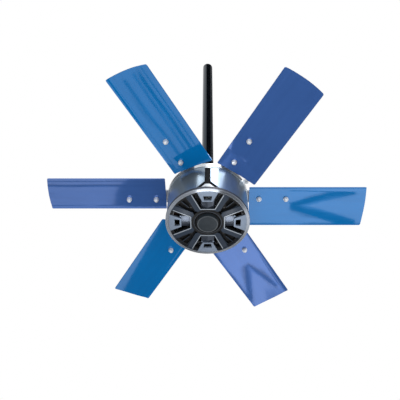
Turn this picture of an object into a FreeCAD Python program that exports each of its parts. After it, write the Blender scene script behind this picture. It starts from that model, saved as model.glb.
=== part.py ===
"""Industrial ceiling fan: a six-blade drum that turns on a fixed spindle under a downrod.

Units are millimetres and +Z is up. The origin is the centre of the hanger-bolt hole near the
top of the downrod, so the whole fan hangs below it. The first blade points along +X.
"""

import FreeCAD, Part
import math
import os

from FreeCAD import Vector

# Fits between pieces
BOLT_CLEARANCE = 0.25       # radial room of a bolt in its through hole
SLIP_CLEARANCE = 0.1        # radial room of the rod and the spindle in the coupling
SEAM_CLEARANCE = 0.3        # gap round a dropped-in trim piece
RACE_CLEARANCE = 0.05       # room between a ball and its race
SEAL_CLEARANCE = 0.1        # room between the seal lip and the spindle
AIR_GAP = 1.2               # stator to magnets

# Fasteners, each size as a share of the thread's diameter
HEAD_AF = 1.7               # hexagon across its flats
HEAD_H = 0.65
NUT_H = 0.8
THREAD_PROUD = 0.5          # bolt end beyond its nut
WASHER_T = 0.2
COUNTERSINK_R = 0.9
PAN_HEAD_H = 0.5
DOME_SKIRT_H = 0.7          # hexagon part of a dome nut
DOME_R = 0.78

# Downrod
ROD_OD = 48.3
ROD_WALL = 3.2
ROD_LENGTH = 1030.0
HANGER_HOLE_D = 13.0
HANGER_HOLE_DROP = 30.0     # top end of the rod to the hanger bolt

# Coupling between rod and spindle
COUPLING_WALL = 10.0
COUPLING_FLAT_WALL = 7.0    # wall left under the two flats that seat the cross bolt
COUPLING_WEB = 6.0
ROD_SOCKET_DEPTH = 55.0
SPINDLE_SOCKET_DEPTH = 45.0
CROSS_BOLT_D = 10.0
SET_SCREW_D = 8.0
SET_SCREW_PROUD = 2.0

# Bearings
UPPER_BEARING_BORE = 35.0
UPPER_BEARING_OD = 72.0
UPPER_BEARING_W = 17.0
UPPER_BALL_D = 11.1
LOWER_BEARING_BORE = 30.0
LOWER_BEARING_OD = 62.0
LOWER_BEARING_W = 16.0
LOWER_BALL_D = 9.5
BALL_COUNT = 9
RACE_SHOULDER = 0.22        # height of a race shoulder beyond the pitch circle, in ball diameters
CAGE_T = 2.4
CAGE_EDGE = 1.0             # cage metal left beside a ball pocket
CIRCLIP_T = 2.0
CIRCLIP_W = 3.5

# Spindle
SPINDLE_BORE_D = 16.0
NECK_REACH = 23.0           # bare spindle between coupling and drum
BEARING_STEP = 3.0          # radial height of the shoulder under the upper bearing
BEARING_STEP_H = 6.0
COLLAR_D = 50.0
COLLAR_H = 22.0
STATOR_SEAT_D = 42.0
TAIL_D = 36.0               # between the stator seat and the lower bearing
TAIL_THREAD_D = 27.0
TAIL_NUT_H = 10.0
TAIL_NUT_AF = 36.0
TAIL_PROUD = 2.0
LEAD_HOLE_D = 12.0          # side outlet of the spindle for the supply leads

# Top cover, which carries the upper bearing and the blade arms
COVER_T = 8.0
BOSS_WALL = 10.0
BOSS_RISE = 19.5
BOSS_LIP = 5.0
SEAL_DEPTH = 7.0
LIP_W = 6.0                 # radial width of the lip that stops a bearing
VENT_STAND = 38.0           # boss to the inner end of a vent slot
VENT_EDGE = 13.0            # outer end of a vent slot to the drum wall
VENT_W = 6.0
VENT_SPREAD = 7.5           # angle between two slots
COVER_SCREW_D = 4.0
COVER_SCREW_DEPTH = 20.0

# Drum
DRUM_R = 153.0
DRUM_HEIGHT = 148.5         # top face of the cover to the top of the bezel
SHELL_T = 4.0
CORE_T = 8.0
FOOT_FLANGE_W = 5.0
FOOT_FLANGE_H = 10.0
PANEL_COUNT = 4
JOINT_HALF_W = 10.5         # half width of the dark slot between two shell panels
JOINT_FORK_H = 37.0         # height of the forked foot of the slot above the bezel
JOINT_FORK_HALF_W = 44.0
TOOTH_H = 21.0
TOOTH_BASE_HALF_W = 26.0
TOOTH_TOP_HALF_W = 8.0
TAB_H = 6.0
TOP_RING_H = 20.5
TOP_RING_PROUD = 1.5
LUG_REACH = 13.0            # lug hole centre outside the drum wall
LUG_R = 9.0
LUG_T = 6.0
LUG_COUNT = 2
LUG_ANGLE = -27.0           # from the first blade to the first lug
LUG_BOLT_D = 8.0

# Bezel round the foot of the drum
BEZEL_PROUD = 3.0
BEZEL_SIDE_H = 12.0         # upright band below the foot of the drum
BEZEL_FACE_W = 12.0         # sloping face between the side and the mouth
BEZEL_FACE_DROP = 2.0
BEZEL_FLAT_W = 1.0          # flat lip at the mouth
BEZEL_BREAK = 1.5           # broken edge between the side and the face
BEZEL_LEDGE_T = 9.0
BEZEL_LEDGE_W = 10.0
BEZEL_SCREW_D = 4.0
BEZEL_SCREW_INSET = 4.5     # screw circle inside the mouth of the bezel
BEZEL_SCREW_DEPTH = 8.0

# End plate inside the drum, which carries the lower bearing
END_PLATE_RISE = 28.0       # top of the end plate above the foot of the drum
END_PLATE_T = 8.0
END_PLATE_RIM = 14.0
END_SPOKE_W = 34.0
END_HUB_WALL = 10.0
END_HUB_LIP = 4.0
END_SCREW_D = 5.0
END_SCREW_DEPTH = 16.0
END_SCREW_COUNT = 8

# Motor
STATOR_TEETH = 24
STATOR_FOOT_GAP = 14.0      # hub of the stator above the lip of the end plate
STACK_INSET = 9.0           # stack inside each end of the hub
TOOTH_LENGTH = 21.8
YOKE_W = 14.0
TOOTH_W = 12.0
SHOE_T = 5.0
SHOE_FILL = 0.82            # share of a tooth pitch that its shoe spans
INSULATOR_T = 2.0
COIL_W = 6.0
COIL_GAP = 0.3
HUB_WALL = 12.0
HUB_SPOKES = 6
HUB_SPOKE_W = 16.0
MAGNET_COUNT = 28
MAGNET_T = 6.0
MAGNET_OVERHANG = 4.0       # magnets beyond each end of the stack
MAGNET_FILL = 0.9
BLOCK_L = 44.0
BLOCK_W = 20.0
BLOCK_H = 14.0

# Grille under the drum
GRILLE_INSET = 0.5          # grille face above the lowest edge of the bezel
RIM_W = 4.7
TRIM_T = 1.5
TRIM_W = 3.0
RAIL_W = 22.0
RAIL_DEPTH = 16.5
FLOOR_T = 3.0
FIN_T = 2.5
FIN_SPREAD = 10.0           # angle between two fins of a diagonal
FIN_STAND = 10.0            # screw post to the inner end of a fin
FIN_SINK = 2.5              # fins below the rail face
WINDOW_STAND = 3.5          # hub to the inner end of a window
WINDOW_INNER_HALF_W = 26.0
WINDOW_RIM_GAP = 14.0       # bezel mouth to where the outer half width is taken
WINDOW_OUTER_HALF_W = 58.0
HUB_R = 60.0
HUB_LIP_W = 10.0            # flat ring round the coned mouth
HUB_CONE_W = 7.0
HUB_FLOOR_DEPTH = 5.5
HUB_FLOOR_T = 4.0
HUB_RING_W = 5.0
POST_R = 7.0
POST_STAND = 26.0           # hub to the screw posts
GRILLE_SCREW_D = 4.0
INSERT_RIM_GAP = 6.0        # bezel mouth to where the outer half width is taken
INSERT_LENGTH = 41.0
INSERT_INNER_HALF_W = 18.6
INSERT_OUTER_HALF_W = 38.0
INSERT_T = 7.5
POCKET_INSET = 6.0          # pocket from the inner edge of the insert
POCKET_LENGTH = 19.0
POCKET_INNER_HALF_W = 13.4
POCKET_OUTER_HALF_W = 16.0
NECK_HALF_W = 24.0
NECK_H = 7.0
NECK_SINK = 4.0             # ridge of the neck above the face of the insert
CAP_STAND = 4.0             # room round the cap on the floor of the hub
CAP_PROUD = 9.0
CAP_WALL = 4.0
CAP_ROUND = 2.5

# Blades and arms
SWEEP_D = 1220.0
BLADE_COUNT = 6
BLADE_ROOT_GAP = 6.5        # drum wall to the root of a blade
BLADE_LEAD = 51.0           # bolt line to leading edge
BLADE_TRAIL = 114.0         # bolt line to trailing edge
BLADE_T = 3.0
BLADE_PITCH = 8.0
BLADE_LAND = 30.0           # half width of the flat land under the arm
LEAD_BEND_R = 70.0
TRAIL_BEND_R = 420.0
BLADE_CORNER_R = 5.0
BLADE_DROP = 14.5           # top face of the cover to the blade's mid surface
INNER_BOLT_INSET = 38.5     # root of the blade to the inner bolt
BLADE_BOLT_PITCH = 104.0
BLADE_BOLT_D = 10.0
ARM_W = 58.0
ARM_T = 5.0
ARM_STAND = 20.0            # boss to the inner end of an arm
ARM_OVERHANG = 3.5          # top ring to the start of the step
ARM_BEND_LENGTH = 26.0
ARM_END_MARGIN = 30.0       # outer bolt to the end of the arm
ARM_CORNER = 16.0
ARM_BOLT_D = 8.0
ARM_BOLT_INSET = 10.0       # inner end of the arm to its first bolt
ARM_BOLT_WALL_GAP = 5.0     # outer pair of bolts inside the drum wall
ARM_BOLT_HALF_PITCH = 17.0

# Levels, from the rod down
Z_ROD_TOP = HANGER_HOLE_DROP
Z_ROD_FOOT = Z_ROD_TOP - ROD_LENGTH
Z_COUPLING_TOP = Z_ROD_FOOT + ROD_SOCKET_DEPTH
Z_SPINDLE_TOP = Z_ROD_FOOT - COUPLING_WEB
Z_COUPLING_FOOT = Z_SPINDLE_TOP - SPINDLE_SOCKET_DEPTH
Z_BOSS_TOP = Z_COUPLING_FOOT - NECK_REACH
Z_COVER_TOP = Z_BOSS_TOP - BOSS_RISE
Z_COVER_UNDER = Z_COVER_TOP - COVER_T
Z_BLADE = Z_COVER_TOP - BLADE_DROP
Z_UPPER_CLIP_TOP = Z_BOSS_TOP - SEAL_DEPTH
Z_UPPER_BEARING_TOP = Z_UPPER_CLIP_TOP - CIRCLIP_T
Z_UPPER_BEARING_FOOT = Z_UPPER_BEARING_TOP - UPPER_BEARING_W
Z_COLLAR_TOP = Z_UPPER_BEARING_FOOT - BEARING_STEP_H
Z_COLLAR_FOOT = Z_COLLAR_TOP - COLLAR_H
Z_DRUM_FOOT = Z_COVER_TOP - DRUM_HEIGHT
Z_SHELL_TOP = Z_COVER_TOP - TOP_RING_H
Z_END_TOP = Z_DRUM_FOOT + END_PLATE_RISE
Z_END_UNDER = Z_END_TOP - END_PLATE_T
Z_LOWER_BEARING_TOP = Z_END_TOP + END_HUB_LIP
Z_END_LIP_TOP = Z_LOWER_BEARING_TOP + END_HUB_LIP
Z_SEAT_FOOT = Z_END_LIP_TOP + STATOR_FOOT_GAP
Z_STACK_TOP = Z_COLLAR_FOOT - STACK_INSET
Z_STACK_FOOT = Z_SEAT_FOOT + STACK_INSET
Z_LOWER_BEARING_FOOT = Z_LOWER_BEARING_TOP - LOWER_BEARING_W
Z_LOWER_CLIP_FOOT = Z_LOWER_BEARING_FOOT - CIRCLIP_T
Z_TAIL_FOOT = Z_LOWER_BEARING_FOOT - TAIL_NUT_H - TAIL_PROUD
Z_BEZEL_EDGE = Z_DRUM_FOOT - BEZEL_SIDE_H
Z_BEZEL_FOOT = Z_BEZEL_EDGE - BEZEL_FACE_DROP
Z_LEDGE = Z_DRUM_FOOT - BEZEL_LEDGE_T
Z_FACE = Z_BEZEL_FOOT + GRILLE_INSET
Z_RAIL = Z_FACE + TRIM_T
Z_RAIL_TOP = Z_RAIL + RAIL_DEPTH
Z_HUB_FLOOR = Z_RAIL + HUB_FLOOR_DEPTH

# Radii that follow from the sizes above
ROD_R = ROD_OD / 2
COUPLING_R = ROD_R + SLIP_CLEARANCE + COUPLING_WALL
COUPLING_FLAT = ROD_R + SLIP_CLEARANCE + COUPLING_FLAT_WALL
NECK_R = UPPER_BEARING_BORE / 2
CORE_R = DRUM_R - SHELL_T
CORE_BORE_R = CORE_R - CORE_T
RING_R = DRUM_R + TOP_RING_PROUD
BEZEL_R = DRUM_R + BEZEL_PROUD
BEZEL_MOUTH_R = BEZEL_R - BEZEL_FACE_W
GRILLE_R = BEZEL_MOUTH_R - SEAM_CLEARANCE
GRILLE_UPPER_R = BEZEL_MOUTH_R - BEZEL_LEDGE_W - SEAM_CLEARANCE
MAGNET_INNER_R = CORE_BORE_R - MAGNET_T
STATOR_R = MAGNET_INNER_R - AIR_GAP
STATOR_YOKE_R = STATOR_R - TOOTH_LENGTH
STATOR_BORE_R = STATOR_YOKE_R - YOKE_W
SCREW_CIRCLE_R = CORE_BORE_R + CORE_T / 2
BEZEL_SCREW_R = BEZEL_MOUTH_R - BEZEL_SCREW_INSET
LUG_CIRCLE_R = DRUM_R + LUG_REACH
HUB_CONE_R = HUB_R - HUB_LIP_W
HUB_FLOOR_R = HUB_CONE_R - HUB_CONE_W
CAP_R = HUB_FLOOR_R - CAP_STAND
POST_CIRCLE_R = HUB_R + POST_STAND
FIN_INNER_R = POST_CIRCLE_R + FIN_STAND
WINDOW_INNER = HUB_R + WINDOW_STAND
WINDOW_OUTER = BEZEL_MOUTH_R - WINDOW_RIM_GAP
INSERT_OUTER = BEZEL_MOUTH_R - INSERT_RIM_GAP
INSERT_INNER = INSERT_OUTER - INSERT_LENGTH
POCKET_INNER = INSERT_INNER + POCKET_INSET
POCKET_OUTER = POCKET_INNER + POCKET_LENGTH
BOSS_R = UPPER_BEARING_OD / 2 + BOSS_WALL
ARM_INNER_R = BOSS_R + ARM_STAND
ARM_BEND_START = RING_R + ARM_OVERHANG
ARM_BOLT_INNER_R = ARM_INNER_R + ARM_BOLT_INSET
ARM_BOLT_OUTER_R = CORE_BORE_R - ARM_BOLT_WALL_GAP
BLADE_ROOT_R = DRUM_R + BLADE_ROOT_GAP
INNER_BOLT_R = BLADE_ROOT_R + INNER_BOLT_INSET
OUTER_BOLT_R = INNER_BOLT_R + BLADE_BOLT_PITCH
BLADE_STEP = 360.0 / BLADE_COUNT
PANEL_STEP = 360.0 / PANEL_COUNT
FIRST_WINDOW = -90.0        # a joint and a window face the front
HEX = math.sqrt(3)

UP = Vector(0, 0, 1)
AXIS = Vector(0, 0, 0)


def drum(radius, low, high):
    """Solid cylinder about the fan axis."""
    return Part.makeCylinder(radius, high - low, Vector(0, 0, low))


def ring(outer, inner, low, high):
    """Plain ring about the fan axis."""
    return drum(outer, low, high).cut(drum(inner, low, high))


def turned(points):
    """Body of revolution from (radius, level) points."""
    corners = [Vector(radius, 0, level) for radius, level in points]
    face = Part.Face(Part.makePolygon(corners + corners[:1]))
    return face.revolve(AXIS, UP, 360)


def prism(points, low, high):
    """Upright prism over (x, y) points."""
    corners = [Vector(x, y, low) for x, y in points]
    face = Part.Face(Part.makePolygon(corners + corners[:1]))
    return face.extrude(Vector(0, 0, high - low))


def slab(x_low, x_high, half_width, low, high):
    """Box that lies along X, centred on it."""
    return Part.makeBox(x_high - x_low, 2 * half_width, high - low, Vector(x_low, -half_width, low))


def rod(radius, start, direction, length):
    """Cylinder from a start point along a direction."""
    return Part.makeCylinder(radius, length, start, direction)


def hexagon(across_flats, low, high):
    """Hexagonal prism about the Z axis."""
    radius = across_flats / HEX
    points = [
        (radius * math.cos(math.radians(60 * k)), radius * math.sin(math.radians(60 * k)))
        for k in range(6)
    ]
    return prism(points, low, high)


def spun(shape, angle):
    """Copy turned about the fan axis."""
    return shape.rotated(AXIS, UP, angle)


def around(shape, count, start=0.0):
    """Evenly spaced copies about the fan axis."""
    return [spun(shape, start + 360.0 * k / count) for k in range(count)]


def polar(radius, angle, level):
    """Point at a radius and an angle about the fan axis."""
    turn = math.radians(angle)
    return Vector(radius * math.cos(turn), radius * math.sin(turn), level)


def hex_head(diameter, low):
    """Hexagon bolt head that rests on a level."""
    return hexagon(HEAD_AF * diameter, low, low + HEAD_H * diameter)


def hex_nut(diameter, low):
    """Hexagon nut that rests on a level."""
    high = low + NUT_H * diameter
    return hexagon(HEAD_AF * diameter, low, high).cut(drum(diameter / 2, low, high))


# Hanging pieces

def make_downrod():
    tube = ring(ROD_R, ROD_R - ROD_WALL, Z_ROD_FOOT, Z_ROD_TOP)
    hanger = rod(HANGER_HOLE_D / 2, Vector(-ROD_OD, 0, 0), Vector(1, 0, 0), 2 * ROD_OD)
    return tube.cut(hanger).cut(cross_bolt_hole())


def cross_bolt_level():
    return Z_ROD_FOOT + ROD_SOCKET_DEPTH / 2


def cross_bolt_hole():
    start = Vector(0, -2 * COUPLING_R, cross_bolt_level())
    return rod(CROSS_BOLT_D / 2 + BOLT_CLEARANCE, start, Vector(0, 1, 0), 4 * COUPLING_R)


def set_screw_level():
    return Z_COUPLING_FOOT + SPINDLE_SOCKET_DEPTH / 2


def set_screw():
    start = Vector(NECK_R, 0, set_screw_level())
    return rod(SET_SCREW_D / 2, start, Vector(1, 0, 0), COUPLING_R - NECK_R + SET_SCREW_PROUD)


def make_rod_coupling():
    body = drum(COUPLING_R, Z_COUPLING_FOOT, Z_COUPLING_TOP)
    height = Z_COUPLING_TOP - Z_COUPLING_FOOT
    flats = Part.makeBox(
        2 * COUPLING_R, 2 * COUPLING_FLAT, height, Vector(-COUPLING_R, -COUPLING_FLAT, Z_COUPLING_FOOT)
    )
    cuts = [
        drum(ROD_R + SLIP_CLEARANCE, Z_ROD_FOOT, Z_COUPLING_TOP),
        drum(NECK_R + SLIP_CLEARANCE, Z_COUPLING_FOOT, Z_SPINDLE_TOP),
        drum(SPINDLE_BORE_D / 2, Z_SPINDLE_TOP, Z_ROD_FOOT),
        cross_bolt_hole(),
    ]
    return body.common(flats).cut(cuts + around(set_screw(), 2))


def make_coupling_bolt():
    """Cross bolt that carries the fan's weight, with its head at the front flat."""
    length = 2 * COUPLING_FLAT + (NUT_H + THREAD_PROUD) * CROSS_BOLT_D
    shank = drum(CROSS_BOLT_D / 2, 0, length)
    head = hex_head(CROSS_BOLT_D, -HEAD_H * CROSS_BOLT_D)
    return lay_along_y(shank.fuse(head), -COUPLING_FLAT)


def make_coupling_nut():
    return lay_along_y(hex_nut(CROSS_BOLT_D, 0), COUPLING_FLAT)


def lay_along_y(shape, start):
    """Turn a piece made along Z to lie along Y at the cross bolt's level."""
    return shape.rotated(AXIS, Vector(1, 0, 0), -90).translated(Vector(0, start, cross_bolt_level()))


def make_set_screws():
    return Part.makeCompound(around(set_screw(), 2))


def make_spindle():
    body = turned([
        (0, Z_SPINDLE_TOP),
        (NECK_R, Z_SPINDLE_TOP),
        (NECK_R, Z_UPPER_BEARING_FOOT),
        (NECK_R + BEARING_STEP, Z_UPPER_BEARING_FOOT),
        (NECK_R + BEARING_STEP, Z_COLLAR_TOP),
        (COLLAR_D / 2, Z_COLLAR_TOP),
        (COLLAR_D / 2, Z_COLLAR_FOOT),
        (STATOR_SEAT_D / 2, Z_COLLAR_FOOT),
        (STATOR_SEAT_D / 2, Z_SEAT_FOOT),
        (TAIL_D / 2, Z_SEAT_FOOT),
        (TAIL_D / 2, Z_LOWER_BEARING_TOP),
        (LOWER_BEARING_BORE / 2, Z_LOWER_BEARING_TOP),
        (LOWER_BEARING_BORE / 2, Z_LOWER_BEARING_FOOT),
        (TAIL_THREAD_D / 2, Z_LOWER_BEARING_FOOT),
        (TAIL_THREAD_D / 2, Z_TAIL_FOOT),
        (0, Z_TAIL_FOOT),
    ])
    outlet_level = (Z_COLLAR_TOP + Z_COLLAR_FOOT) / 2
    bore = drum(SPINDLE_BORE_D / 2, outlet_level - LEAD_HOLE_D / 2, Z_SPINDLE_TOP)
    outlet = rod(LEAD_HOLE_D / 2, Vector(0, 0, outlet_level), Vector(1, 0, 0), COLLAR_D)
    return body.cut([bore, outlet])


def make_spindle_nut():
    low = Z_LOWER_BEARING_FOOT - TAIL_NUT_H
    nut = hexagon(TAIL_NUT_AF, low, Z_LOWER_BEARING_FOOT)
    return nut.cut(drum(TAIL_THREAD_D / 2, low, Z_LOWER_BEARING_FOOT))


# Bearings

class Bearing:
    """Deep-groove ball bearing between two levels on the fan axis."""

    def __init__(self, bore, outside, ball_d, low, high):
        self.bore_r = bore / 2
        self.outer_r = outside / 2
        self.ball_r = ball_d / 2
        self.low = low
        self.high = high
        self.pitch_r = (self.bore_r + self.outer_r) / 2
        self.shoulder = RACE_SHOULDER * ball_d
        self.middle = (low + high) / 2

    def race_groove(self):
        return Part.makeTorus(self.pitch_r, self.ball_r + RACE_CLEARANCE, Vector(0, 0, self.middle))

    def inner_ring(self):
        blank = ring(self.pitch_r - self.shoulder, self.bore_r, self.low, self.high)
        return blank.cut(self.race_groove())

    def outer_ring(self):
        blank = ring(self.outer_r, self.pitch_r + self.shoulder, self.low, self.high)
        return blank.cut(self.race_groove())

    def ball_set(self):
        pocket_r = self.ball_r + RACE_CLEARANCE
        half = pocket_r + CAGE_EDGE
        inner = self.pitch_r - CAGE_T / 2
        cage = ring(inner + CAGE_T, inner, self.middle - half, self.middle + half)
        pocket = rod(pocket_r, Vector(0, 0, self.middle), Vector(1, 0, 0), self.outer_r)
        cage = cage.cut(around(pocket, BALL_COUNT))
        ball = Part.makeSphere(self.ball_r, Vector(self.pitch_r, 0, self.middle))
        return Part.makeCompound([cage] + around(ball, BALL_COUNT))


UPPER_BEARING = Bearing(
    UPPER_BEARING_BORE, UPPER_BEARING_OD, UPPER_BALL_D, Z_UPPER_BEARING_FOOT, Z_UPPER_BEARING_TOP
)
LOWER_BEARING = Bearing(
    LOWER_BEARING_BORE, LOWER_BEARING_OD, LOWER_BALL_D, Z_LOWER_BEARING_FOOT, Z_LOWER_BEARING_TOP
)


def make_circlips():
    upper = ring(
        UPPER_BEARING.outer_r, UPPER_BEARING.outer_r - CIRCLIP_W, Z_UPPER_BEARING_TOP, Z_UPPER_CLIP_TOP
    )
    lower = ring(
        LOWER_BEARING.outer_r, LOWER_BEARING.outer_r - CIRCLIP_W, Z_LOWER_CLIP_FOOT, Z_LOWER_BEARING_FOOT
    )
    return Part.makeCompound([upper, lower])


def make_shaft_seal():
    return ring(UPPER_BEARING.outer_r, NECK_R + SEAL_CLEARANCE, Z_UPPER_CLIP_TOP, Z_BOSS_TOP)


# Motor inside the drum

def make_stator_hub():
    low = Z_SEAT_FOOT
    high = Z_COLLAR_FOOT
    sleeve_r = STATOR_SEAT_D / 2 + HUB_WALL
    sleeve = ring(sleeve_r, STATOR_SEAT_D / 2, low, high)
    rim = ring(STATOR_BORE_R, STATOR_BORE_R - HUB_WALL, low, high)
    spoke = slab(STATOR_SEAT_D / 2 + HUB_WALL / 2, STATOR_BORE_R - HUB_WALL / 2, HUB_SPOKE_W / 2, low, high)
    return sleeve.fuse([rim] + around(spoke, HUB_SPOKES)).removeSplitter()


def stator_section(low, high):
    """Lamination outline: a yoke ring with T-shaped teeth."""
    yoke = ring(STATOR_YOKE_R, STATOR_BORE_R, low, high)
    stem = slab(STATOR_YOKE_R - SHOE_T, STATOR_R - SHOE_T / 2, TOOTH_W / 2, low, high)
    shoe_angle = 360.0 / STATOR_TEETH * SHOE_FILL
    shoe = sector(STATOR_R, STATOR_R - SHOE_T, shoe_angle, low, high)
    tooth = stem.fuse(shoe)
    return yoke.fuse(around(tooth, STATOR_TEETH)).removeSplitter()


def sector(outer, inner, angle, low, high):
    """Ring segment of a given angle, centred on +X."""
    points = [Vector(inner, 0, low), Vector(outer, 0, low), Vector(outer, 0, high), Vector(inner, 0, high)]
    face = Part.Face(Part.makePolygon(points + points[:1]))
    return spun(face.revolve(AXIS, UP, angle), -angle / 2)


def make_stator_core():
    return stator_section(Z_STACK_FOOT, Z_STACK_TOP)


def make_stator_insulators():
    return Part.makeCompound([
        stator_section(Z_STACK_TOP, Z_STACK_TOP + INSULATOR_T),
        stator_section(Z_STACK_FOOT - INSULATOR_T, Z_STACK_FOOT),
    ])


def make_stator_coils():
    """One winding on each tooth, between the yoke and the shoe."""
    low = Z_STACK_FOOT - INSULATOR_T
    high = Z_STACK_TOP + INSULATOR_T
    inner_half = TOOTH_W / 2 + COIL_GAP
    outer_half = inner_half + COIL_W
    x_low = STATOR_YOKE_R + COIL_GAP
    x_high = math.sqrt((STATOR_R - SHOE_T) ** 2 - outer_half ** 2) - COIL_GAP
    outside = slab(x_low, x_high, outer_half, low - COIL_W, high + COIL_W)
    inside = slab(x_low, x_high, inner_half, low, high)
    return Part.makeCompound(around(outside.cut(inside), STATOR_TEETH))


def make_terminal_block():
    middle = (STATOR_SEAT_D / 2 + HUB_WALL + STATOR_BORE_R - HUB_WALL) / 2
    return slab(
        middle - BLOCK_L / 2, middle + BLOCK_L / 2, BLOCK_W / 2, Z_COLLAR_FOOT, Z_COLLAR_FOOT + BLOCK_H
    )


def make_magnets():
    angle = 360.0 / MAGNET_COUNT * MAGNET_FILL
    low = Z_STACK_FOOT - MAGNET_OVERHANG
    magnet = sector(CORE_BORE_R, MAGNET_INNER_R, angle, low, Z_STACK_TOP + MAGNET_OVERHANG)
    return Part.makeCompound(around(magnet, MAGNET_COUNT))


# Drum pieces

def cover_screw_angles():
    """Angles of the cover screws, one on each side of every arm."""
    half = math.degrees(math.atan2(ARM_W / 2 + 2 * COVER_SCREW_D, SCREW_CIRCLE_R))
    return [BLADE_STEP * k + side * half for k in range(BLADE_COUNT) for side in (-1, 1)]


def countersunk(diameter, depth):
    """Countersunk screw along -Z with its head flush at level 0."""
    radius = diameter / 2
    head_r = COUNTERSINK_R * diameter
    return turned([(0, 0), (head_r, 0), (radius, radius - head_r), (radius, -depth), (0, -depth)])


def placed_cover_screws():
    screw = countersunk(COVER_SCREW_D, COVER_SCREW_DEPTH)
    return [screw.translated(polar(SCREW_CIRCLE_R, angle, Z_COVER_TOP)) for angle in cover_screw_angles()]


def make_top_cover():
    seat_r = UPPER_BEARING.outer_r
    lip_foot = Z_UPPER_BEARING_FOOT - BOSS_LIP
    body = turned([
        (seat_r - LIP_W, lip_foot),
        (BOSS_R, lip_foot),
        (BOSS_R, Z_COVER_UNDER),
        (CORE_R, Z_COVER_UNDER),
        (CORE_R, Z_COVER_TOP),
        (BOSS_R, Z_COVER_TOP),
        (BOSS_R, Z_BOSS_TOP),
        (seat_r, Z_BOSS_TOP),
        (seat_r, Z_UPPER_BEARING_FOOT),
        (seat_r - LIP_W, Z_UPPER_BEARING_FOOT),
    ])
    vent = slab(BOSS_R + VENT_STAND, CORE_BORE_R - VENT_EDGE, VENT_W / 2, Z_COVER_UNDER, Z_COVER_TOP)
    vents = []
    for place in (-1, 0, 1):
        vents += around(vent, BLADE_COUNT, BLADE_STEP / 2 + VENT_SPREAD * place)
    holes = [
        rod(ARM_BOLT_D / 2, spot + Vector(0, 0, -COVER_T), UP, COVER_T)
        for spot in arm_bolt_spots()
    ]
    return body.cut(vents).cut(holes).cut(placed_cover_screws())


def make_drum_core():
    wall = ring(CORE_R, CORE_BORE_R, Z_DRUM_FOOT, Z_COVER_UNDER)
    flange = ring(CORE_R, CORE_BORE_R - FOOT_FLANGE_W, Z_DRUM_FOOT, Z_DRUM_FOOT + FOOT_FLANGE_H)
    body = wall.fuse(flange).removeSplitter()
    return body.cut(placed_cover_screws()).cut(placed_end_screws()).cut(placed_bezel_screws())


def placed_end_screws():
    """Radial screws through the drum wall into the rim of the end plate, flush under the shells."""
    screw = countersunk(END_SCREW_D, END_SCREW_DEPTH)
    screw = screw.rotated(AXIS, Vector(0, 1, 0), 90)
    screw = screw.translated(Vector(CORE_R, 0, (Z_END_TOP + Z_END_UNDER) / 2))
    screw = screw.common(drum(CORE_R, Z_DRUM_FOOT, Z_COVER_UNDER))
    return around(screw, END_SCREW_COUNT, PANEL_STEP / 4)


def make_end_plate():
    seat_r = LOWER_BEARING.outer_r
    hub_r = seat_r + END_HUB_WALL
    hub = turned([
        (seat_r, Z_LOWER_CLIP_FOOT),
        (hub_r, Z_LOWER_CLIP_FOOT),
        (hub_r, Z_END_LIP_TOP),
        (seat_r - LIP_W, Z_END_LIP_TOP),
        (seat_r - LIP_W, Z_LOWER_BEARING_TOP),
        (seat_r, Z_LOWER_BEARING_TOP),
    ])
    rim = ring(CORE_BORE_R, CORE_BORE_R - END_PLATE_RIM, Z_END_UNDER, Z_END_TOP)
    spoke_start = seat_r + END_HUB_WALL / 2
    spoke_end = CORE_BORE_R - END_PLATE_RIM / 2
    spoke = slab(spoke_start, spoke_end, END_SPOKE_W / 2, Z_END_UNDER, Z_END_TOP)
    spokes = around(spoke, PANEL_COUNT, PANEL_STEP / 2)
    body = hub.fuse([rim] + spokes).removeSplitter()
    return body.cut(placed_end_screws()).cut(placed_grille_screws())


def joint_prism(points):
    """Cutter through the drum wall at the front joint, over (across, level) points."""
    corners = [Vector(across, -CORE_BORE_R, level) for across, level in points]
    face = Part.Face(Part.makePolygon(corners + corners[:1]))
    return face.extrude(Vector(0, -DRUM_R, 0))


def make_drum_shells():
    """Polished panels with a forked dark joint between each two."""
    fork = Z_DRUM_FOOT + JOINT_FORK_H
    slot = joint_prism([
        (-JOINT_HALF_W, Z_SHELL_TOP),
        (JOINT_HALF_W, Z_SHELL_TOP),
        (JOINT_HALF_W, fork),
        (JOINT_FORK_HALF_W, Z_DRUM_FOOT),
        (-JOINT_FORK_HALF_W, Z_DRUM_FOOT),
        (-JOINT_HALF_W, fork),
    ])
    skin = ring(DRUM_R, CORE_R, Z_DRUM_FOOT, Z_SHELL_TOP).cut(around(slot, PANEL_COUNT))
    return sorted(skin.Solids, key=panel_angle)


def panel_angle(panel):
    """Direction of a panel's middle, counted from the front joint."""
    centre = panel.CenterOfMass
    return (math.degrees(math.atan2(centre.y, centre.x)) - FIRST_WINDOW) % 360


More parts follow.
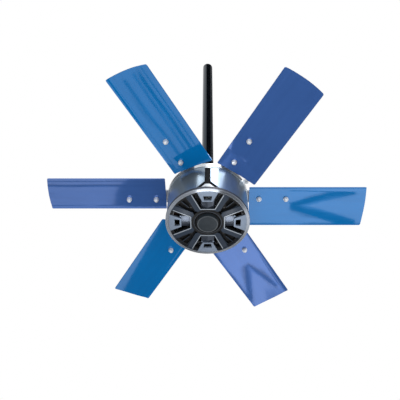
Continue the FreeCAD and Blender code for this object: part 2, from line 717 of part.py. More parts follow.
def make_top_ring():
    """Bright ring round the top of the drum, with a tab into each joint and two lugs."""
    body = ring(RING_R, CORE_R, Z_SHELL_TOP, Z_COVER_TOP)
    tab = joint_prism([
        (-JOINT_HALF_W, Z_SHELL_TOP),
        (JOINT_HALF_W, Z_SHELL_TOP),
        (JOINT_HALF_W, Z_SHELL_TOP - TAB_H),
        (-JOINT_HALF_W, Z_SHELL_TOP - TAB_H),
    ])
    tab = tab.common(ring(DRUM_R, CORE_R, Z_SHELL_TOP - TAB_H, Z_SHELL_TOP))
    low = Z_COVER_TOP - LUG_T
    lug = slab(DRUM_R, LUG_CIRCLE_R, LUG_R, low, Z_COVER_TOP)
    eye = Part.makeCylinder(LUG_R, LUG_T, Vector(LUG_CIRCLE_R, 0, low))
    lug = lug.fuse(eye).removeSplitter()
    body = body.fuse(around(tab, PANEL_COUNT) + around(lug, LUG_COUNT, LUG_ANGLE)).removeSplitter()
    hole = Part.makeCylinder(LUG_BOLT_D / 2 + BOLT_CLEARANCE, LUG_T, Vector(LUG_CIRCLE_R, 0, low))
    return body.cut(around(hole, LUG_COUNT, LUG_ANGLE))


def make_lug_bolts():
    """Balance bolts in the lugs: a hexagon bolt from above and a nut below in each."""
    nut_low = -LUG_T - NUT_H * LUG_BOLT_D
    shank = drum(LUG_BOLT_D / 2, nut_low - THREAD_PROUD * LUG_BOLT_D, 0)
    bolt = hex_head(LUG_BOLT_D, 0).fuse(shank)
    place = Vector(LUG_CIRCLE_R, 0, Z_COVER_TOP)
    pieces = [bolt.translated(place), hex_nut(LUG_BOLT_D, nut_low).translated(place)]
    return Part.makeCompound([copy for piece in pieces for copy in around(piece, LUG_COUNT, LUG_ANGLE)])


def make_bezel():
    """Upright band and bright sloping face, a ledge for the grille, and a tooth into each joint."""
    ledge_r = BEZEL_MOUTH_R - BEZEL_LEDGE_W
    body = turned([
        (BEZEL_R, Z_DRUM_FOOT),
        (ledge_r, Z_DRUM_FOOT),
        (ledge_r, Z_LEDGE),
        (BEZEL_MOUTH_R, Z_LEDGE),
        (BEZEL_MOUTH_R, Z_BEZEL_FOOT),
        (BEZEL_MOUTH_R + BEZEL_FLAT_W, Z_BEZEL_FOOT),
        (BEZEL_R - BEZEL_BREAK, Z_BEZEL_EDGE),
        (BEZEL_R, Z_BEZEL_EDGE + BEZEL_BREAK),
    ])
    tooth = joint_prism([
        (-TOOTH_TOP_HALF_W, Z_DRUM_FOOT + TOOTH_H),
        (TOOTH_TOP_HALF_W, Z_DRUM_FOOT + TOOTH_H),
        (TOOTH_BASE_HALF_W, Z_DRUM_FOOT),
        (-TOOTH_BASE_HALF_W, Z_DRUM_FOOT),
    ])
    tooth = tooth.common(ring(DRUM_R, CORE_R, Z_DRUM_FOOT, Z_DRUM_FOOT + TOOTH_H))
    body = body.fuse(around(tooth, PANEL_COUNT)).removeSplitter()
    return body.cut(placed_bezel_screws())


def placed_bezel_screws():
    """Screws through the bezel's ledge into the flange of the drum, hidden by the grille."""
    depth = BEZEL_LEDGE_T + BEZEL_SCREW_DEPTH
    screw = countersunk(BEZEL_SCREW_D, depth).rotated(AXIS, Vector(1, 0, 0), 180)
    screw = screw.translated(Vector(BEZEL_SCREW_R, 0, Z_LEDGE))
    return around(screw, 2 * PANEL_COUNT, PANEL_STEP / 4)


# Grille pieces, each made for a window along +X and then turned

def window_line():
    """Unit direction of a window's side, and the direction away from the window."""
    run = WINDOW_OUTER - WINDOW_INNER
    rise = WINDOW_OUTER_HALF_W - WINDOW_INNER_HALF_W
    length = math.hypot(run, rise)
    along = (run / length, rise / length)
    return along, (-along[1], along[0])


def beside_window(along_distance, away_distance):
    """Point from the inner corner of the window, along its side and away from it."""
    along, away = window_line()
    x = WINDOW_INNER + along_distance * along[0] + away_distance * away[0]
    y = WINDOW_INNER_HALF_W + along_distance * along[1] + away_distance * away[1]
    return x, y


def mirrored(shape):
    """Copy mirrored across the window's middle plane."""
    return shape.mirror(AXIS, Vector(0, 1, 0))


def window_rail(depth):
    reach = GRILLE_R
    points = [
        beside_window(0, 0),
        beside_window(reach, 0),
        beside_window(reach, RAIL_W),
        beside_window(0, RAIL_W),
        (HUB_CONE_R, WINDOW_INNER_HALF_W + RAIL_W / 2),
        (HUB_CONE_R, WINDOW_INNER_HALF_W),
    ]
    return prism(points, Z_RAIL, Z_RAIL + depth)


def end_bar():
    """Wall across the inner end of a window."""
    return slab(HUB_R - HUB_RING_W, WINDOW_INNER, WINDOW_INNER_HALF_W, Z_RAIL, Z_RAIL_TOP)


def diagonal_floor():
    """Roof of the dark valley between two windows, laid along +X."""
    half = math.radians(PANEL_STEP / 2)
    rail_in = beside_window(0, RAIL_W / 2)
    rail_out = beside_window(GRILLE_UPPER_R, RAIL_W / 2)
    points = []
    for x, y in (rail_in, rail_out):
        points.append((x * math.cos(half) + y * math.sin(half), y * math.cos(half) - x * math.sin(half)))
    mirrored_points = [(x, -y) for x, y in reversed(points)]
    return prism(points + mirrored_points, Z_RAIL_TOP - FLOOR_T, Z_RAIL_TOP)


def diagonal_fins():
    fin = slab(FIN_INNER_R, GRILLE_R, FIN_T / 2, Z_RAIL + FIN_SINK, Z_RAIL_TOP)
    return [spun(fin, FIN_SPREAD * k) for k in (-1, 0, 1)]


def grille_screw():
    """Screw from the valley up through the post into the end plate."""
    seat = Z_RAIL_TOP - FLOOR_T
    head = drum(GRILLE_SCREW_D, seat - PAN_HEAD_H * GRILLE_SCREW_D, seat)
    shank = drum(GRILLE_SCREW_D / 2, seat, Z_END_UNDER + END_PLATE_T / 2)
    return head.fuse(shank).translated(Vector(POST_CIRCLE_R, 0, 0))


def placed_grille_screws():
    return around(grille_screw(), PANEL_COUNT, PANEL_STEP / 2)


def make_grille():
    inside = drum(GRILLE_UPPER_R, Z_RAIL, Z_RAIL_TOP)
    quarter = [window_rail(RAIL_DEPTH), mirrored(window_rail(RAIL_DEPTH)), end_bar()]
    valley = [diagonal_floor()] + diagonal_fins()
    quarter += [spun(piece, PANEL_STEP / 2) for piece in valley]
    quarter = [piece.common(inside) for piece in quarter]
    foot = drum(GRILLE_R, Z_RAIL, Z_LEDGE)
    rail_foot = window_rail(Z_LEDGE - Z_RAIL)
    quarter += [rail_foot.common(foot), mirrored(rail_foot).common(foot)]
    post = Part.makeCylinder(POST_R, Z_END_UNDER - Z_RAIL_TOP, Vector(POST_CIRCLE_R, 0, Z_RAIL_TOP))
    quarter.append(spun(post, PANEL_STEP / 2))
    rim = ring(GRILLE_R, GRILLE_R - RIM_W, Z_FACE, Z_LEDGE)
    pieces = [copy for piece in quarter for copy in around(piece, PANEL_COUNT)]
    body = make_grille_hub().fuse([rim] + pieces).removeSplitter()
    seats = around(insert_plate(SEAM_CLEARANCE), PANEL_COUNT)
    return body.cut(seats).cut(placed_grille_screws())


def make_grille_hub():
    """Hub cup: a ring with a coned mouth and a floor that seats the centre cap."""
    return turned([
        (0, Z_HUB_FLOOR),
        (HUB_FLOOR_R, Z_HUB_FLOOR),
        (HUB_CONE_R, Z_RAIL),
        (HUB_R, Z_RAIL),
        (HUB_R, Z_RAIL_TOP),
        (HUB_R - HUB_RING_W, Z_RAIL_TOP),
        (HUB_R - HUB_RING_W, Z_HUB_FLOOR + HUB_FLOOR_T),
        (0, Z_HUB_FLOOR + HUB_FLOOR_T),
    ])


def trapezoid(inner, inner_half, outer, outer_half, low, high):
    """Prism that is symmetric about +X, with its two ends at right angles to it."""
    points = [(inner, -inner_half), (outer, -outer_half), (outer, outer_half), (inner, inner_half)]
    return prism(points, low, high)


def insert_plate(room=0.0):
    """Bright trapezoid at the outer end of a window, run out past the rim; room widens it for its seat."""
    slope = (INSERT_OUTER_HALF_W - INSERT_INNER_HALF_W) / (INSERT_OUTER - INSERT_INNER)
    inner = INSERT_INNER - room
    inner_half = INSERT_INNER_HALF_W + room
    outer = BEZEL_R
    outer_half = inner_half + slope * (outer - inner)
    return trapezoid(inner, inner_half, outer, outer_half, Z_FACE, Z_FACE + INSERT_T)


def make_grille_insert():
    plate = insert_plate()
    upper = plate.common(drum(GRILLE_UPPER_R, Z_FACE, Z_FACE + INSERT_T))
    lower = plate.common(drum(GRILLE_R, Z_FACE, Z_LEDGE))
    pocket = trapezoid(
        POCKET_INNER, POCKET_INNER_HALF_W, POCKET_OUTER, POCKET_OUTER_HALF_W, Z_FACE, Z_FACE + INSERT_T
    )
    body = upper.fuse(lower).removeSplitter().cut(pocket)
    return body.fuse(insert_neck()).removeSplitter()


def insert_neck():
    """Ridged neck from the insert in to the inner wall of the window."""
    ridge = Z_FACE + NECK_SINK
    roof = ridge + NECK_H
    corners = [
        Vector(WINDOW_INNER, -NECK_HALF_W, roof),
        Vector(WINDOW_INNER, 0, ridge),
        Vector(WINDOW_INNER, NECK_HALF_W, roof),
    ]
    face = Part.Face(Part.makePolygon(corners + corners[:1]))
    return face.extrude(Vector(POCKET_INNER - WINDOW_INNER, 0, 0))


def make_window_trims():
    """Thin bright outline of each window, on the faces of the rails."""
    reach = GRILLE_R
    points = [beside_window(reach, 0), beside_window(0, 0)]
    points += [beside_window(0, TRIM_W), beside_window(reach, TRIM_W)]
    side = prism(points, Z_FACE, Z_RAIL)
    corner = beside_window(0, TRIM_W)
    head = prism([
        (WINDOW_INNER, -WINDOW_INNER_HALF_W),
        (WINDOW_INNER, WINDOW_INNER_HALF_W),
        corner,
        (WINDOW_INNER - TRIM_W, WINDOW_INNER_HALF_W),
        (WINDOW_INNER - TRIM_W, -WINDOW_INNER_HALF_W),
        (corner[0], -corner[1]),
    ], Z_FACE, Z_RAIL)
    trim = head.fuse([side, mirrored(side)]).removeSplitter()
    trim = trim.common(drum(GRILLE_R - RIM_W, Z_FACE, Z_RAIL))
    return Part.makeCompound(around(trim, PANEL_COUNT))


def make_centre_cap():
    """Plain round cap on the floor of the hub."""
    low = Z_BEZEL_FOOT - CAP_PROUD
    cup = drum(CAP_R, low, Z_HUB_FLOOR).cut(drum(CAP_R - CAP_WALL, low + CAP_WALL, Z_HUB_FLOOR))
    rims = [edge for edge in cup.Edges if is_face_rim(edge, low)]
    return cup.makeFillet(CAP_ROUND, rims)


def is_face_rim(edge, level):
    """True for the outer round edge of the cap's face."""
    box = edge.BoundBox
    return abs(box.ZMin - level) < CAP_ROUND / 10 and abs(box.ZMax - level) < CAP_ROUND / 10


# Blades and arms, each made along +X and then turned

def pitched(shape):
    """Lay a piece made on the level blade plane at the blade's pitch and height."""
    return shape.rotated(AXIS, Vector(1, 0, 0), -BLADE_PITCH).translated(Vector(0, 0, Z_BLADE))


def bend_point(bend_r, edge, offset, share):
    """Point on a bent side of the section: share 0 is the land's edge, 1 the blade's edge."""
    turn = math.asin((edge - BLADE_LAND) / bend_r) * share
    radius = bend_r + offset
    across = BLADE_LAND + radius * math.sin(turn)
    level = radius * math.cos(turn) - bend_r
    return across, level


def section_side(bend_r, edge, side):
    """Points of one bent side, upper face outwards and lower face back."""
    upper = [bend_point(bend_r, edge, BLADE_T / 2, share) for share in (0, 0.5, 1)]
    lower = [bend_point(bend_r, edge, -BLADE_T / 2, share) for share in (1, 0.5, 0)]
    return [Vector(0, side * across, level) for across, level in upper + lower]


def make_blade():
    trail = section_side(TRAIL_BEND_R, BLADE_TRAIL, 1)
    lead = section_side(LEAD_BEND_R, BLADE_LEAD, -1)
    edges = []
    for side in (trail, lead):
        edges.append(Part.Arc(side[0], side[1], side[2]).toShape())
        edges.append(Part.makeLine(side[2], side[3]))
        edges.append(Part.Arc(side[3], side[4], side[5]).toShape())
    edges.append(Part.makeLine(trail[0], lead[0]))
    edges.append(Part.makeLine(trail[5], lead[5]))
    section = Part.Face(Part.Wire(Part.__sortEdges__(edges)))
    sheet = section.extrude(Vector(SWEEP_D / 2, 0, 0))
    bolt_hole = BLADE_BOLT_D / 2 + BOLT_CLEARANCE
    holes = [
        drum(bolt_hole, -BLADE_T, BLADE_T).translated(Vector(r, 0, 0))
        for r in (INNER_BOLT_R, OUTER_BOLT_R)
    ]
    return pitched(sheet.cut(holes)).common(blade_outline())


def blade_outline():
    """Upright prism of the blade's plan, with a tip on the sweep circle and eased corners."""
    tip = SWEEP_D / 2
    tilt = math.cos(math.radians(BLADE_PITCH))
    lead = BLADE_LEAD * tilt
    trail = BLADE_TRAIL * tilt
    lead_tip = Vector(math.sqrt(tip * tip - lead * lead), -lead, 0)
    trail_tip = Vector(math.sqrt(tip * tip - trail * trail), trail, 0)
    edges = [
        Part.makeLine(Vector(BLADE_ROOT_R, -lead, 0), lead_tip),
        Part.Arc(lead_tip, Vector(tip, 0, 0), trail_tip).toShape(),
        Part.makeLine(trail_tip, Vector(BLADE_ROOT_R, trail, 0)),
        Part.makeLine(Vector(BLADE_ROOT_R, trail, 0), Vector(BLADE_ROOT_R, -lead, 0)),
    ]
    depth = BLADE_LEAD + BLADE_TRAIL
    plan = Part.Face(Part.Wire(edges)).translated(Vector(0, 0, Z_BLADE - depth / 2))
    body = plan.extrude(Vector(0, 0, depth))
    upright = [edge for edge in body.Edges if edge.BoundBox.ZLength > depth / 2]
    return body.makeFillet(BLADE_CORNER_R, upright)


def make_blade_arm():
    """Flat foot on the cover, a step down over the drum's edge, and a pitched pad on the blade."""
    bend_end = ARM_BEND_START + ARM_BEND_LENGTH
    pad_end = OUTER_BOLT_R + ARM_END_MARGIN
    half = ARM_W / 2
    pad_low = BLADE_T / 2
    foot = slab(ARM_INNER_R, ARM_BEND_START, half, Z_COVER_TOP, Z_COVER_TOP + ARM_T)
    pad_plan = [
        (bend_end, -half),
        (pad_end - ARM_CORNER, -half),
        (pad_end, -half + ARM_CORNER),
        (pad_end, half - ARM_CORNER),
        (pad_end - ARM_CORNER, half),
        (bend_end, half),
    ]
    pad = pitched(prism(pad_plan, pad_low, pad_low + ARM_T))
    foot_end = arm_section(ARM_BEND_START, Z_COVER_TOP, Z_COVER_TOP + ARM_T)
    pad_start = pitched(arm_section(bend_end, pad_low, pad_low + ARM_T))
    step = Part.makeLoft([foot_end, pad_start], True, True)
    body = foot.fuse([step, pad])
    bolt_hole = BLADE_BOLT_D / 2 + BOLT_CLEARANCE
    holes = [
        pitched(drum(bolt_hole, 0, BLADE_T + ARM_T).translated(Vector(r, 0, 0)))
        for r in (INNER_BOLT_R, OUTER_BOLT_R)
    ]
    holes += [
        rod(ARM_BOLT_D / 2 + BOLT_CLEARANCE, spot, UP, ARM_T)
        for spot in one_arm_bolt_spots()
    ]
    return body.cut(holes)


def arm_section(x, low, high):
    """Outline of the arm's strip at a distance from the axis."""
    half = ARM_W / 2
    corners = [Vector(x, -half, low), Vector(x, half, low), Vector(x, half, high), Vector(x, -half, high)]
    return Part.makePolygon(corners + corners[:1])


def one_arm_bolt_spots():
    return [
        Vector(ARM_BOLT_INNER_R, 0, Z_COVER_TOP),
        Vector(ARM_BOLT_OUTER_R, -ARM_BOLT_HALF_PITCH, Z_COVER_TOP),
        Vector(ARM_BOLT_OUTER_R, ARM_BOLT_HALF_PITCH, Z_COVER_TOP),
    ]


def arm_bolt_spots():
    turns = [FreeCAD.Rotation(UP, BLADE_STEP * k) for k in range(BLADE_COUNT)]
    return [turn.multVec(spot) for turn in turns for spot in one_arm_bolt_spots()]


def make_arm_bolts():
    bolt = hex_head(ARM_BOLT_D, ARM_T).fuse(drum(ARM_BOLT_D / 2, -COVER_T, ARM_T))
    one_arm = [bolt.translated(spot) for spot in one_arm_bolt_spots()]
    return Part.makeCompound([copy for piece in one_arm for copy in around(piece, BLADE_COUNT)])


def blade_bolt_set(piece):
    """Copies of a fastener at both bolts of every blade."""
    placed = [pitched(piece.translated(Vector(r, 0, 0))) for r in (INNER_BOLT_R, OUTER_BOLT_R)]
    return Part.makeCompound([copy for one in placed for copy in around(one, BLADE_COUNT)])


def nut_top():
    """Level of the dome nut's seat under the lower washer, from the blade's mid surface."""
    return -BLADE_T / 2 - WASHER_T * BLADE_BOLT_D


def make_blade_bolts():
    """Hexagon bolts from above, through arm and blade."""
    head_low = BLADE_T / 2 + ARM_T
    shank = drum(BLADE_BOLT_D / 2, nut_top() - BLADE_BOLT_D, head_low)
    return blade_bolt_set(hex_head(BLADE_BOLT_D, head_low).fuse(shank))


def make_blade_washers():
    high = -BLADE_T / 2
    return blade_bolt_set(ring(BLADE_BOLT_D, BLADE_BOLT_D / 2 + BOLT_CLEARANCE, nut_top(), high))


def make_blade_nuts():
    """Dome nuts under the blades."""
    skirt_low = nut_top() - DOME_SKIRT_H * BLADE_BOLT_D
    skirt = hexagon(HEAD_AF * BLADE_BOLT_D, skirt_low, nut_top())
    dome_r = DOME_R * BLADE_BOLT_D
    dome = Part.makeSphere(dome_r, Vector(0, 0, skirt_low))
    dome = dome.cut(drum(2 * dome_r, skirt_low, skirt_low + 2 * dome_r))
    thread = drum(BLADE_BOLT_D / 2, nut_top() - BLADE_BOLT_D, nut_top())
    return blade_bolt_set(skirt.fuse(dome).removeSplitter().cut(thread))


def all_nodes():
    nodes = {
        "downrod": make_downrod(),
        "rod_coupling": make_rod_coupling(),
        "coupling_bolt": make_coupling_bolt(),
        "coupling_nut": make_coupling_nut(),
        "coupling_set_screws": make_set_screws(),
        "spindle": make_spindle(),
        "spindle_nut": make_spindle_nut(),
        "upper_bearing_inner_ring": UPPER_BEARING.inner_ring(),
        "upper_bearing_outer_ring": UPPER_BEARING.outer_ring(),
        "upper_bearing_ball_set": UPPER_BEARING.ball_set(),
        "lower_bearing_inner_ring": LOWER_BEARING.inner_ring(),
        "lower_bearing_outer_ring": LOWER_BEARING.outer_ring(),
        "lower_bearing_ball_set": LOWER_BEARING.ball_set(),
        "bearing_circlips": make_circlips(),
        "shaft_seal": make_shaft_seal(),
        "stator_hub": make_stator_hub(),
        "stator_core": make_stator_core(),
        "stator_insulators": make_stator_insulators(),
        "stator_coils": make_stator_coils(),
        "terminal_block": make_terminal_block(),
        "rotor_magnets": make_magnets(),
        "top_cover": make_top_cover(),
        "cover_screws": Part.makeCompound(placed_cover_screws()),
        "drum_core": make_drum_core(),
        "end_plate": make_end_plate(),
        "end_plate_screws": Part.makeCompound(placed_end_screws()),
        "top_ring": make_top_ring(),
        "lug_bolts": make_lug_bolts(),
        "bezel": make_bezel(),
        "bezel_screws": Part.makeCompound(placed_bezel_screws()),
        "grille": make_grille(),
        "grille_screws": Part.makeCompound(placed_grille_screws()),
        "window_trims": make_window_trims(),
        "centre_cap": make_centre_cap(),
        "arm_bolts": make_arm_bolts(),
        "blade_bolts": make_blade_bolts(),
        "blade_washers": make_blade_washers(),
        "blade_nuts": make_blade_nuts(),
    }
    for number, panel in enumerate(make_drum_shells(), 1):
        nodes[f"drum_shell_{number}"] = panel
    insert = make_grille_insert()
    for number in range(PANEL_COUNT):
        nodes[f"grille_insert_{number + 1}"] = spun(insert, FIRST_WINDOW + PANEL_STEP * number)
    arm = make_blade_arm()
    blade = make_blade()
    for number in range(BLADE_COUNT):
        nodes[f"blade_arm_{number + 1}"] = spun(arm, BLADE_STEP * number)
        nodes[f"blade_{number + 1}"] = spun(blade, BLADE_STEP * number)
    return nodes


def main():
    os.makedirs("parts", exist_ok=True)
    for name, shape in all_nodes().items():
        shape.exportStep(f"parts/{name}.step")
        print(f"{name}: {len(shape.Solids)} solids, {shape.Volume / 1000:.1f} cm3, valid {shape.isValid()}")


main()
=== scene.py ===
# %% [markdown]
# # An industrial ceiling fan
# This lesson dresses a ceiling fan with six blue sheet-metal blades. The fan hangs from a black
# rod, and a silver drum with a dark grille under it houses the motor. The exact solids come first,
# as a frame in metres. Everything that is added later sits in that same frame, with the rod's
# hanger hole at the origin and the fan below it. The frame's own box is kept, so that the finished
# model can be compared with it at the end.

# %% Load the frame
import bpy
import math
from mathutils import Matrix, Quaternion, Vector


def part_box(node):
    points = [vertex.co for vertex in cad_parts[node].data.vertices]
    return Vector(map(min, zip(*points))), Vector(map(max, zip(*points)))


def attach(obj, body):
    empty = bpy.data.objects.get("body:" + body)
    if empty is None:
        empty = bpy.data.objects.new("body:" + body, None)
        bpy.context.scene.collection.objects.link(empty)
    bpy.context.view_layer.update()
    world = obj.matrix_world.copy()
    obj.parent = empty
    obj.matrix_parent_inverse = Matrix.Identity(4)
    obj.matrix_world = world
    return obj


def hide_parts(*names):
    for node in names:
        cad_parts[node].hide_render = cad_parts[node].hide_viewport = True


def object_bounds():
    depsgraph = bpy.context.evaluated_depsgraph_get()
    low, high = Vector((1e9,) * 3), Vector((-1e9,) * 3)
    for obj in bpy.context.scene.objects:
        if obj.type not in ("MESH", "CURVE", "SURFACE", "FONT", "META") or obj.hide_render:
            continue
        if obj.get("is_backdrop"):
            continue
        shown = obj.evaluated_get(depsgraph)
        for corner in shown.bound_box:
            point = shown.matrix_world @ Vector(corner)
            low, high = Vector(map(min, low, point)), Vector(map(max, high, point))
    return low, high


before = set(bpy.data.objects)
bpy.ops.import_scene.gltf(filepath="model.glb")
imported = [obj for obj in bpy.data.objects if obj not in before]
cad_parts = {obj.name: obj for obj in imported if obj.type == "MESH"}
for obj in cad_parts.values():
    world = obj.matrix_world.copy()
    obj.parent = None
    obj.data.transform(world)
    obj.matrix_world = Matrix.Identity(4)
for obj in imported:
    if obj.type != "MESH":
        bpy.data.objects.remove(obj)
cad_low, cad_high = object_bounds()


def rounded(values, digits=3):
    """A short list of numbers for printing."""
    return [round(value, digits) for value in values]


print("frame box from", rounded(cad_low), "to", rounded(cad_high))

# %% [markdown]
# ## A short way to write shader maths
# A material is a tree of nodes. It could be clicked together, or every node and link could be
# written out, but both get long. One small class wraps a node's output socket instead: its
# operators add Math nodes, so that `1 - mask` reads as it would on paper, and one method adds any
# other kind of node.

# %% The socket wrapper
class Wire:
    """One output socket of a node tree, or just the tree where the socket is None."""

    def __init__(self, tree, socket=None):
        self.tree = tree
        self.socket = socket

    def node(self, kind, settings=None, sockets=None, out=0):
        """Add a node: its settings first, then the values or links of its input sockets."""
        made = self.tree.nodes.new("ShaderNode" + kind)
        for key, value in (settings or {}).items():
            setattr(made, key, value)
        for key, value in (sockets or {}).items():
            if isinstance(value, Wire):
                self.tree.links.new(value.socket, made.inputs[key])
            else:
                made.inputs[key].default_value = value
        return Wire(self.tree, made.outputs[out] if made.outputs else None)

    def math(self, operation, one, other):
        """Add a Math node for two sockets or numbers."""
        return self.node("Math", {"operation": operation}, {0: one, 1: other})

    def __add__(self, other):
        return self.math("ADD", self, other)

    def __radd__(self, other):
        return self.math("ADD", other, self)

    def __sub__(self, other):
        return self.math("SUBTRACT", self, other)

    def __rsub__(self, other):
        return self.math("SUBTRACT", other, self)

    def __mul__(self, other):
        return self.math("MULTIPLY", self, other)

    def __rmul__(self, other):
        return self.math("MULTIPLY", other, self)

    def __truediv__(self, other):
        return self.math("DIVIDE", self, other)

    def __rtruediv__(self, other):
        return self.math("DIVIDE", other, self)


print("operators: + - * / on sockets and numbers")

# %% [markdown]
# ## Common steps of every finish
# Pictures of the surfaces could be wrapped round the pieces, but noise that is worked out in the
# shader has no seams and needs no file. Each finish below starts from the Object coordinates, which
# are metres in the frame, so a grain is as large as it is on the real thing. A Mapping node
# stretches or turns them: lines are noise that is squeezed along one direction. The same few nodes
# come up in every finish, so they get short names here.

# %% Texture helpers
EVEN = (1.0, 1.0, 1.0)


def start(name):
    """A new empty material and a Wire on its tree."""
    material = bpy.data.materials.new(name)
    material.use_nodes = True
    material.node_tree.nodes.clear()
    return material, Wire(material.node_tree)


def coords(tree, stretch=EVEN, turn=0.0):
    """Object coordinates, turned about the fan's axis and then stretched."""
    place = tree.node("TexCoord", out="Object")
    turned = tree.node("Mapping", sockets={"Vector": place, "Rotation": (0.0, 0.0, turn)})
    return tree.node("Mapping", sockets={"Vector": turned, "Scale": stretch})


def noise(where, scale, detail=2.0):
    """Soft noise round 0.5, with features about 1 / scale metres wide."""
    return where.node("TexNoise", sockets={"Vector": where, "Scale": scale, "Detail": detail})


def ramp(value, low, high):
    """0 up to low, 1 from high on, and a smooth rise between. With low above high it falls instead."""
    settings = {"interpolation_type": "SMOOTHSTEP", "clamp": True}
    return value.node("MapRange", settings, {"Value": value, "From Min": low, "From Max": high})


def patches(where, scale, detail=4.0, low=0.35, high=0.7):
    """Cloudy patches about 1 / scale metres wide: 1 inside them and 0 between them."""
    return ramp(noise(where, scale, detail), low, high)


def mix(share, one, other):
    """Colour one where share is 0, colour other where it is 1. A colour is a Wire or three numbers."""
    pair = [c if isinstance(c, Wire) else (*c, 1.0) for c in (one, other)]
    # A Mix node has sockets for every kind of value. Its colours are inputs 6 and 7 and output 2.
    return share.node("Mix", {"data_type": "RGBA"}, {0: share, 6: pair[0], 7: pair[1]}, out=2)


def bump(height, distance):
    """A bump of about that many metres."""
    return height.node("Bump", sockets={"Height": height, "Distance": distance})


def grain(where, count, depth, detail=1.0):
    """A fine even bump: so many grains in a metre, each about depth metres high."""
    return bump(noise(where, count, detail), depth)


def close(tree, sockets):
    """Put the principled shader and the output at the end of a material."""
    shader = tree.node("BsdfPrincipled", sockets=sockets)
    tree.node("OutputMaterial", sockets={"Surface": shader})


print("helpers: coords, noise, ramp, patches, mix, bump, grain, close")

# %% [markdown]
# ## Moulded plastic, powder coat and rubber
# The rod, its coupling and the plastic parts are dark and softly shiny. Powder coat and
# spark-eroded moulds both leave a fine orange-peel skin, handling leaves faint dull clouds, and
# dust settles in specks. A flat colour would look like a stand-in, so the colour drifts a little
# between two close tones, the gloss drifts with it, and a fine bump gives the skin. The rod's paint
# is blue-black, and the blue tint of its shine is a painted reflection. The seal, the magnets and
# the grey trim follow the same recipe with other numbers.

# %% Dull and coated finishes
WHITE = (1.0, 1.0, 1.0)
BLUE_REFLECTION_TINT = (0.25, 0.62, 1.0)
HAND_CLOUDS = 14.0
DUST_SPECKS = 160.0


def coated(name, colour, worn, rough, peel, peel_depth, shine, tint=WHITE):
    """A coat or moulded skin: peel is how many bumps fit in a metre, peel_depth their height."""
    material, tree = start(name)
    where = coords(tree)
    clouds = patches(where, HAND_CLOUDS)
    dust = patches(where, DUST_SPECKS, detail=3.0, low=0.58, high=0.8)
    close(tree, {
        "Base Color": mix(clouds * 0.6 + dust * 0.2, colour, worn),
        "Roughness": rough + clouds * 0.05 + dust * 0.06,
        "Normal": grain(where, peel, peel_depth),
        "Specular IOR Level": shine,
        "Specular Tint": (*tint, 1.0),
    })
    return material


finishes = {}
for name, *values in (
    # finish, colour, worn colour, roughness, bumps in a metre, their height, shine, tint of the shine
    # The rod's shine is tinted blue: a painted reflection.
    ("rod_black", (0.001, 0.0015, 0.0025), (0.002, 0.0025, 0.004), 0.1, 900.0, 0.00001, 0.32, BLUE_REFLECTION_TINT),
    ("coupling_black", (0.011, 0.013, 0.017), (0.030, 0.033, 0.038), 0.4, 420.0, 0.00016, 0.5),
    ("black_screw", (0.006, 0.007, 0.009), (0.020, 0.021, 0.024), 0.36, 1500.0, 0.00003, 0.5),
    ("seal_rubber", (0.010, 0.010, 0.011), (0.024, 0.024, 0.025), 0.62, 700.0, 0.00008, 0.4),
    # insulator_plastic is near black: painted shade for the motor seen through the grille.
    ("insulator_plastic", (0.006, 0.006, 0.007), (0.012, 0.012, 0.012), 0.5, 800.0, 0.00004, 0.3),
    ("core_black", (0.004, 0.005, 0.006), (0.009, 0.010, 0.012), 0.7, 500.0, 0.00012, 0.1),
    ("trim_grey", (0.30, 0.34, 0.39), (0.40, 0.44, 0.49), 0.3, 900.0, 0.00002, 0.5),
    ("ring_grey", (0.055, 0.070, 0.095), (0.075, 0.090, 0.115), 0.3, 900.0, 0.00002, 0.5),
    ("magnet_ferrite", (0.020, 0.020, 0.022), (0.035, 0.035, 0.037), 0.6, 350.0, 0.00012, 0.3),
):
    finishes[name] = coated(name, *values)
print("coated finishes:", len(finishes))

# %% [markdown]
# ## The grille's two blacks
# The grille is one moulding. Its rails and fins are rubbed to a dark grey, while its sunken floors,
# its hub and the rim between the rails are black. That black is painted shade: it makes these
# places as dark as deep shadow. Every face could be given its own material by hand. The finish finds
# the places by itself instead: by how far a point is from the fan's axis, by how deep it lies behind
# the face, and for the rim by how its two sides compare, which tells the rails' eight directions
# from the others.

# %% Tell places on the grille apart
RAIL_SIDES = (0.445, 0.66)
RAIL_BLUR = 0.01
SHARP = 0.0004


def level_of(where):
    """Height of a point, from its coordinates."""
    return where.node("SeparateXYZ", sockets={"Vector": where}, out="Z")


def axis_distance(tree):
    """How far a point is from the fan's axis."""
    flat = coords(tree, (1.0, 1.0, 0.0))
    return tree.node("VectorMath", {"operation": "LENGTH"}, {0: flat}, out="Value")


def sides_of(where):
    """The shorter and the longer one of a point's distances from the x and y axes."""
    parts = where.node("SeparateXYZ", sockets={"Vector": where}).socket.node.outputs
    sides = [where.math("ABSOLUTE", Wire(where.tree, parts[axis]), 0.0) for axis in "XY"]
    return where.math("MINIMUM", *sides), where.math("MAXIMUM", *sides)


def rail_share(where):
    """1 where a rail runs out to the rim: there the shorter side is about half the longer one."""
    shorter, longer = sides_of(where)
    share = shorter / longer
    least, most = RAIL_SIDES
    return ramp(share, least - RAIL_BLUR, least) * ramp(share, most + RAIL_BLUR, most)


print("a rail's sides compare as", RAIL_SIDES, "and edges blur over", 2 * SHARP, "m")

# %% [markdown]
# ### Put the two blacks on
# The three masks are joined by their maximum, so a place is painted black as shade if any of them
# says so. Both tones get the fine grain of the mould.

# %% Grille finish
RIM_FACE = -1.2555
FIN_FACE = -1.2515
HUB_R = 0.0605
GRILLE_GREYS = ((0.013, 0.026, 0.048), (0.019, 0.032, 0.055))
GRILLE_SHADE_BLACK = (0.0025, 0.003, 0.004)
MOULDED_SHINE = 0.4


